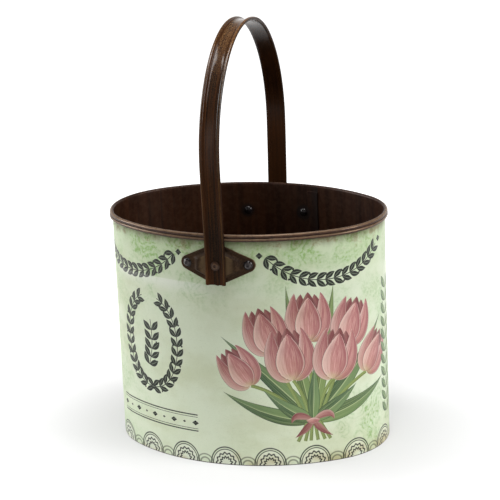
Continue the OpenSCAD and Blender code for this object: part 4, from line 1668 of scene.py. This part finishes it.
floor_corners = [(x * FLOOR_HALF, y * FLOOR_HALF, 0) for x, y in ((-1, -1), (1, -1), (1, 1), (-1, 1))]
floor_mesh = bpy.data.meshes.new("floor")
floor_mesh.from_pydata(floor_corners, [], [(0, 1, 2, 3)])
floor = add_object("floor", floor_mesh)
floor_finish = bpy.data.materials.new("floor_sheet")
floor_finish.use_nodes = True
tree = floor_finish.node_tree
tree.nodes.clear()
rays = tree.nodes.new("ShaderNodeLightPath").outputs
mirrored = larger(rays["Is Glossy Ray"], rays["Is Transmission Ray"])
shown = larger(rays["Is Camera Ray"], mirrored)
far = follow("VectorMath", {0: object_place(tree)}, out=1, operation="LENGTH")
lighting = mix(step(far, 0.12, 0.55), grey(FLOOR_NEAR), grey(FLOOR_FAR))
matt = follow("BsdfDiffuse", {"Color": mix(shown, lighting, grey(FLOOR_SEEN))})
# The glow is weaker near the bucket's foot, which paints a soft shadow round it
glow_past_painted_shadow = times(shown, step(far, 0.09, 0.32, FLOOR_GLOW, 1.0))
glow = follow("Emission", {"Color": WHITE, "Strength": glow_past_painted_shadow})
lit = follow("AddShader", {0: matt, 1: glow})
link(lit, tree.nodes.new("ShaderNodeOutputMaterial").inputs[0])
floor_mesh.materials.append(floor_finish)
print("floor:", 2 * FLOOR_HALF, "m wide")

# %% World
AMBIENT = 0.12
CEILING = 0.16
world = bpy.data.worlds.new("studio")
world.use_nodes = True
tree = world.node_tree
tree.nodes.clear()
rays = tree.nodes.new("ShaderNodeLightPath").outputs
up = xyz(place(tree, "TexCoord"))[2]
mirrored = larger(rays["Is Glossy Ray"], rays["Is Transmission Ray"])
backdrop = times(mirrored, step(up, 0.5, 0.1, CEILING, 1.0))
brightness = larger(rays["Is Camera Ray"], larger(backdrop, AMBIENT))
sky = follow("Background", {"Color": WHITE, "Strength": brightness})
link(sky, tree.nodes.new("ShaderNodeOutputWorld").inputs[0])
bpy.context.scene.world = world
print("world:", world.name)

# %% [markdown]
# ## Light
# Soft lamps at both ends give the form, the right one being stronger. Two narrow lamps, one high in front
# and one high at the left, draw the glints along the strap, and a large one overhead lights the rim and
# the crown.

# %% Lamps
BUCKET_MIDDLE = (0, 0, 0.12)
HANDLE_FRONT = (0, -0.06, 0.26)


def softbox(name, spot, aim, width, height, power):
    """An area lamp that faces a point."""
    light = bpy.data.lights.new(name, "AREA")
    light.shape = "RECTANGLE"
    light.size = width
    light.size_y = height
    light.energy = power
    lamp = add_object(name, light)
    lamp.location = spot
    lamp.rotation_mode = "QUATERNION"
    lamp.rotation_quaternion = (Vector(aim) - Vector(spot)).to_track_quat("-Z", "Y")


# Each lamp: its name, its place, what it faces, its width and height, and its power
softbox("right_key", (1.30, -0.11, 0.75), BUCKET_MIDDLE, 0.7, 0.7, 13.8)
softbox("left_fill", (-1.25, -0.11, 0.60), BUCKET_MIDDLE, 0.7, 0.7, 11.2)
softbox("right_glint", (0.16, -0.80, 1.30), HANDLE_FRONT, 0.16, 0.55, 1.5)
softbox("left_glint", (-0.80, -0.05, 1.30), HANDLE_FRONT, 0.20, 0.45, 2.3)
softbox("overhead", (0.2, -0.22, 1.9), (0, 0, 0.1), 0.9, 0.9, 21.0)
bpy.context.scene.view_settings.view_transform = "Standard"
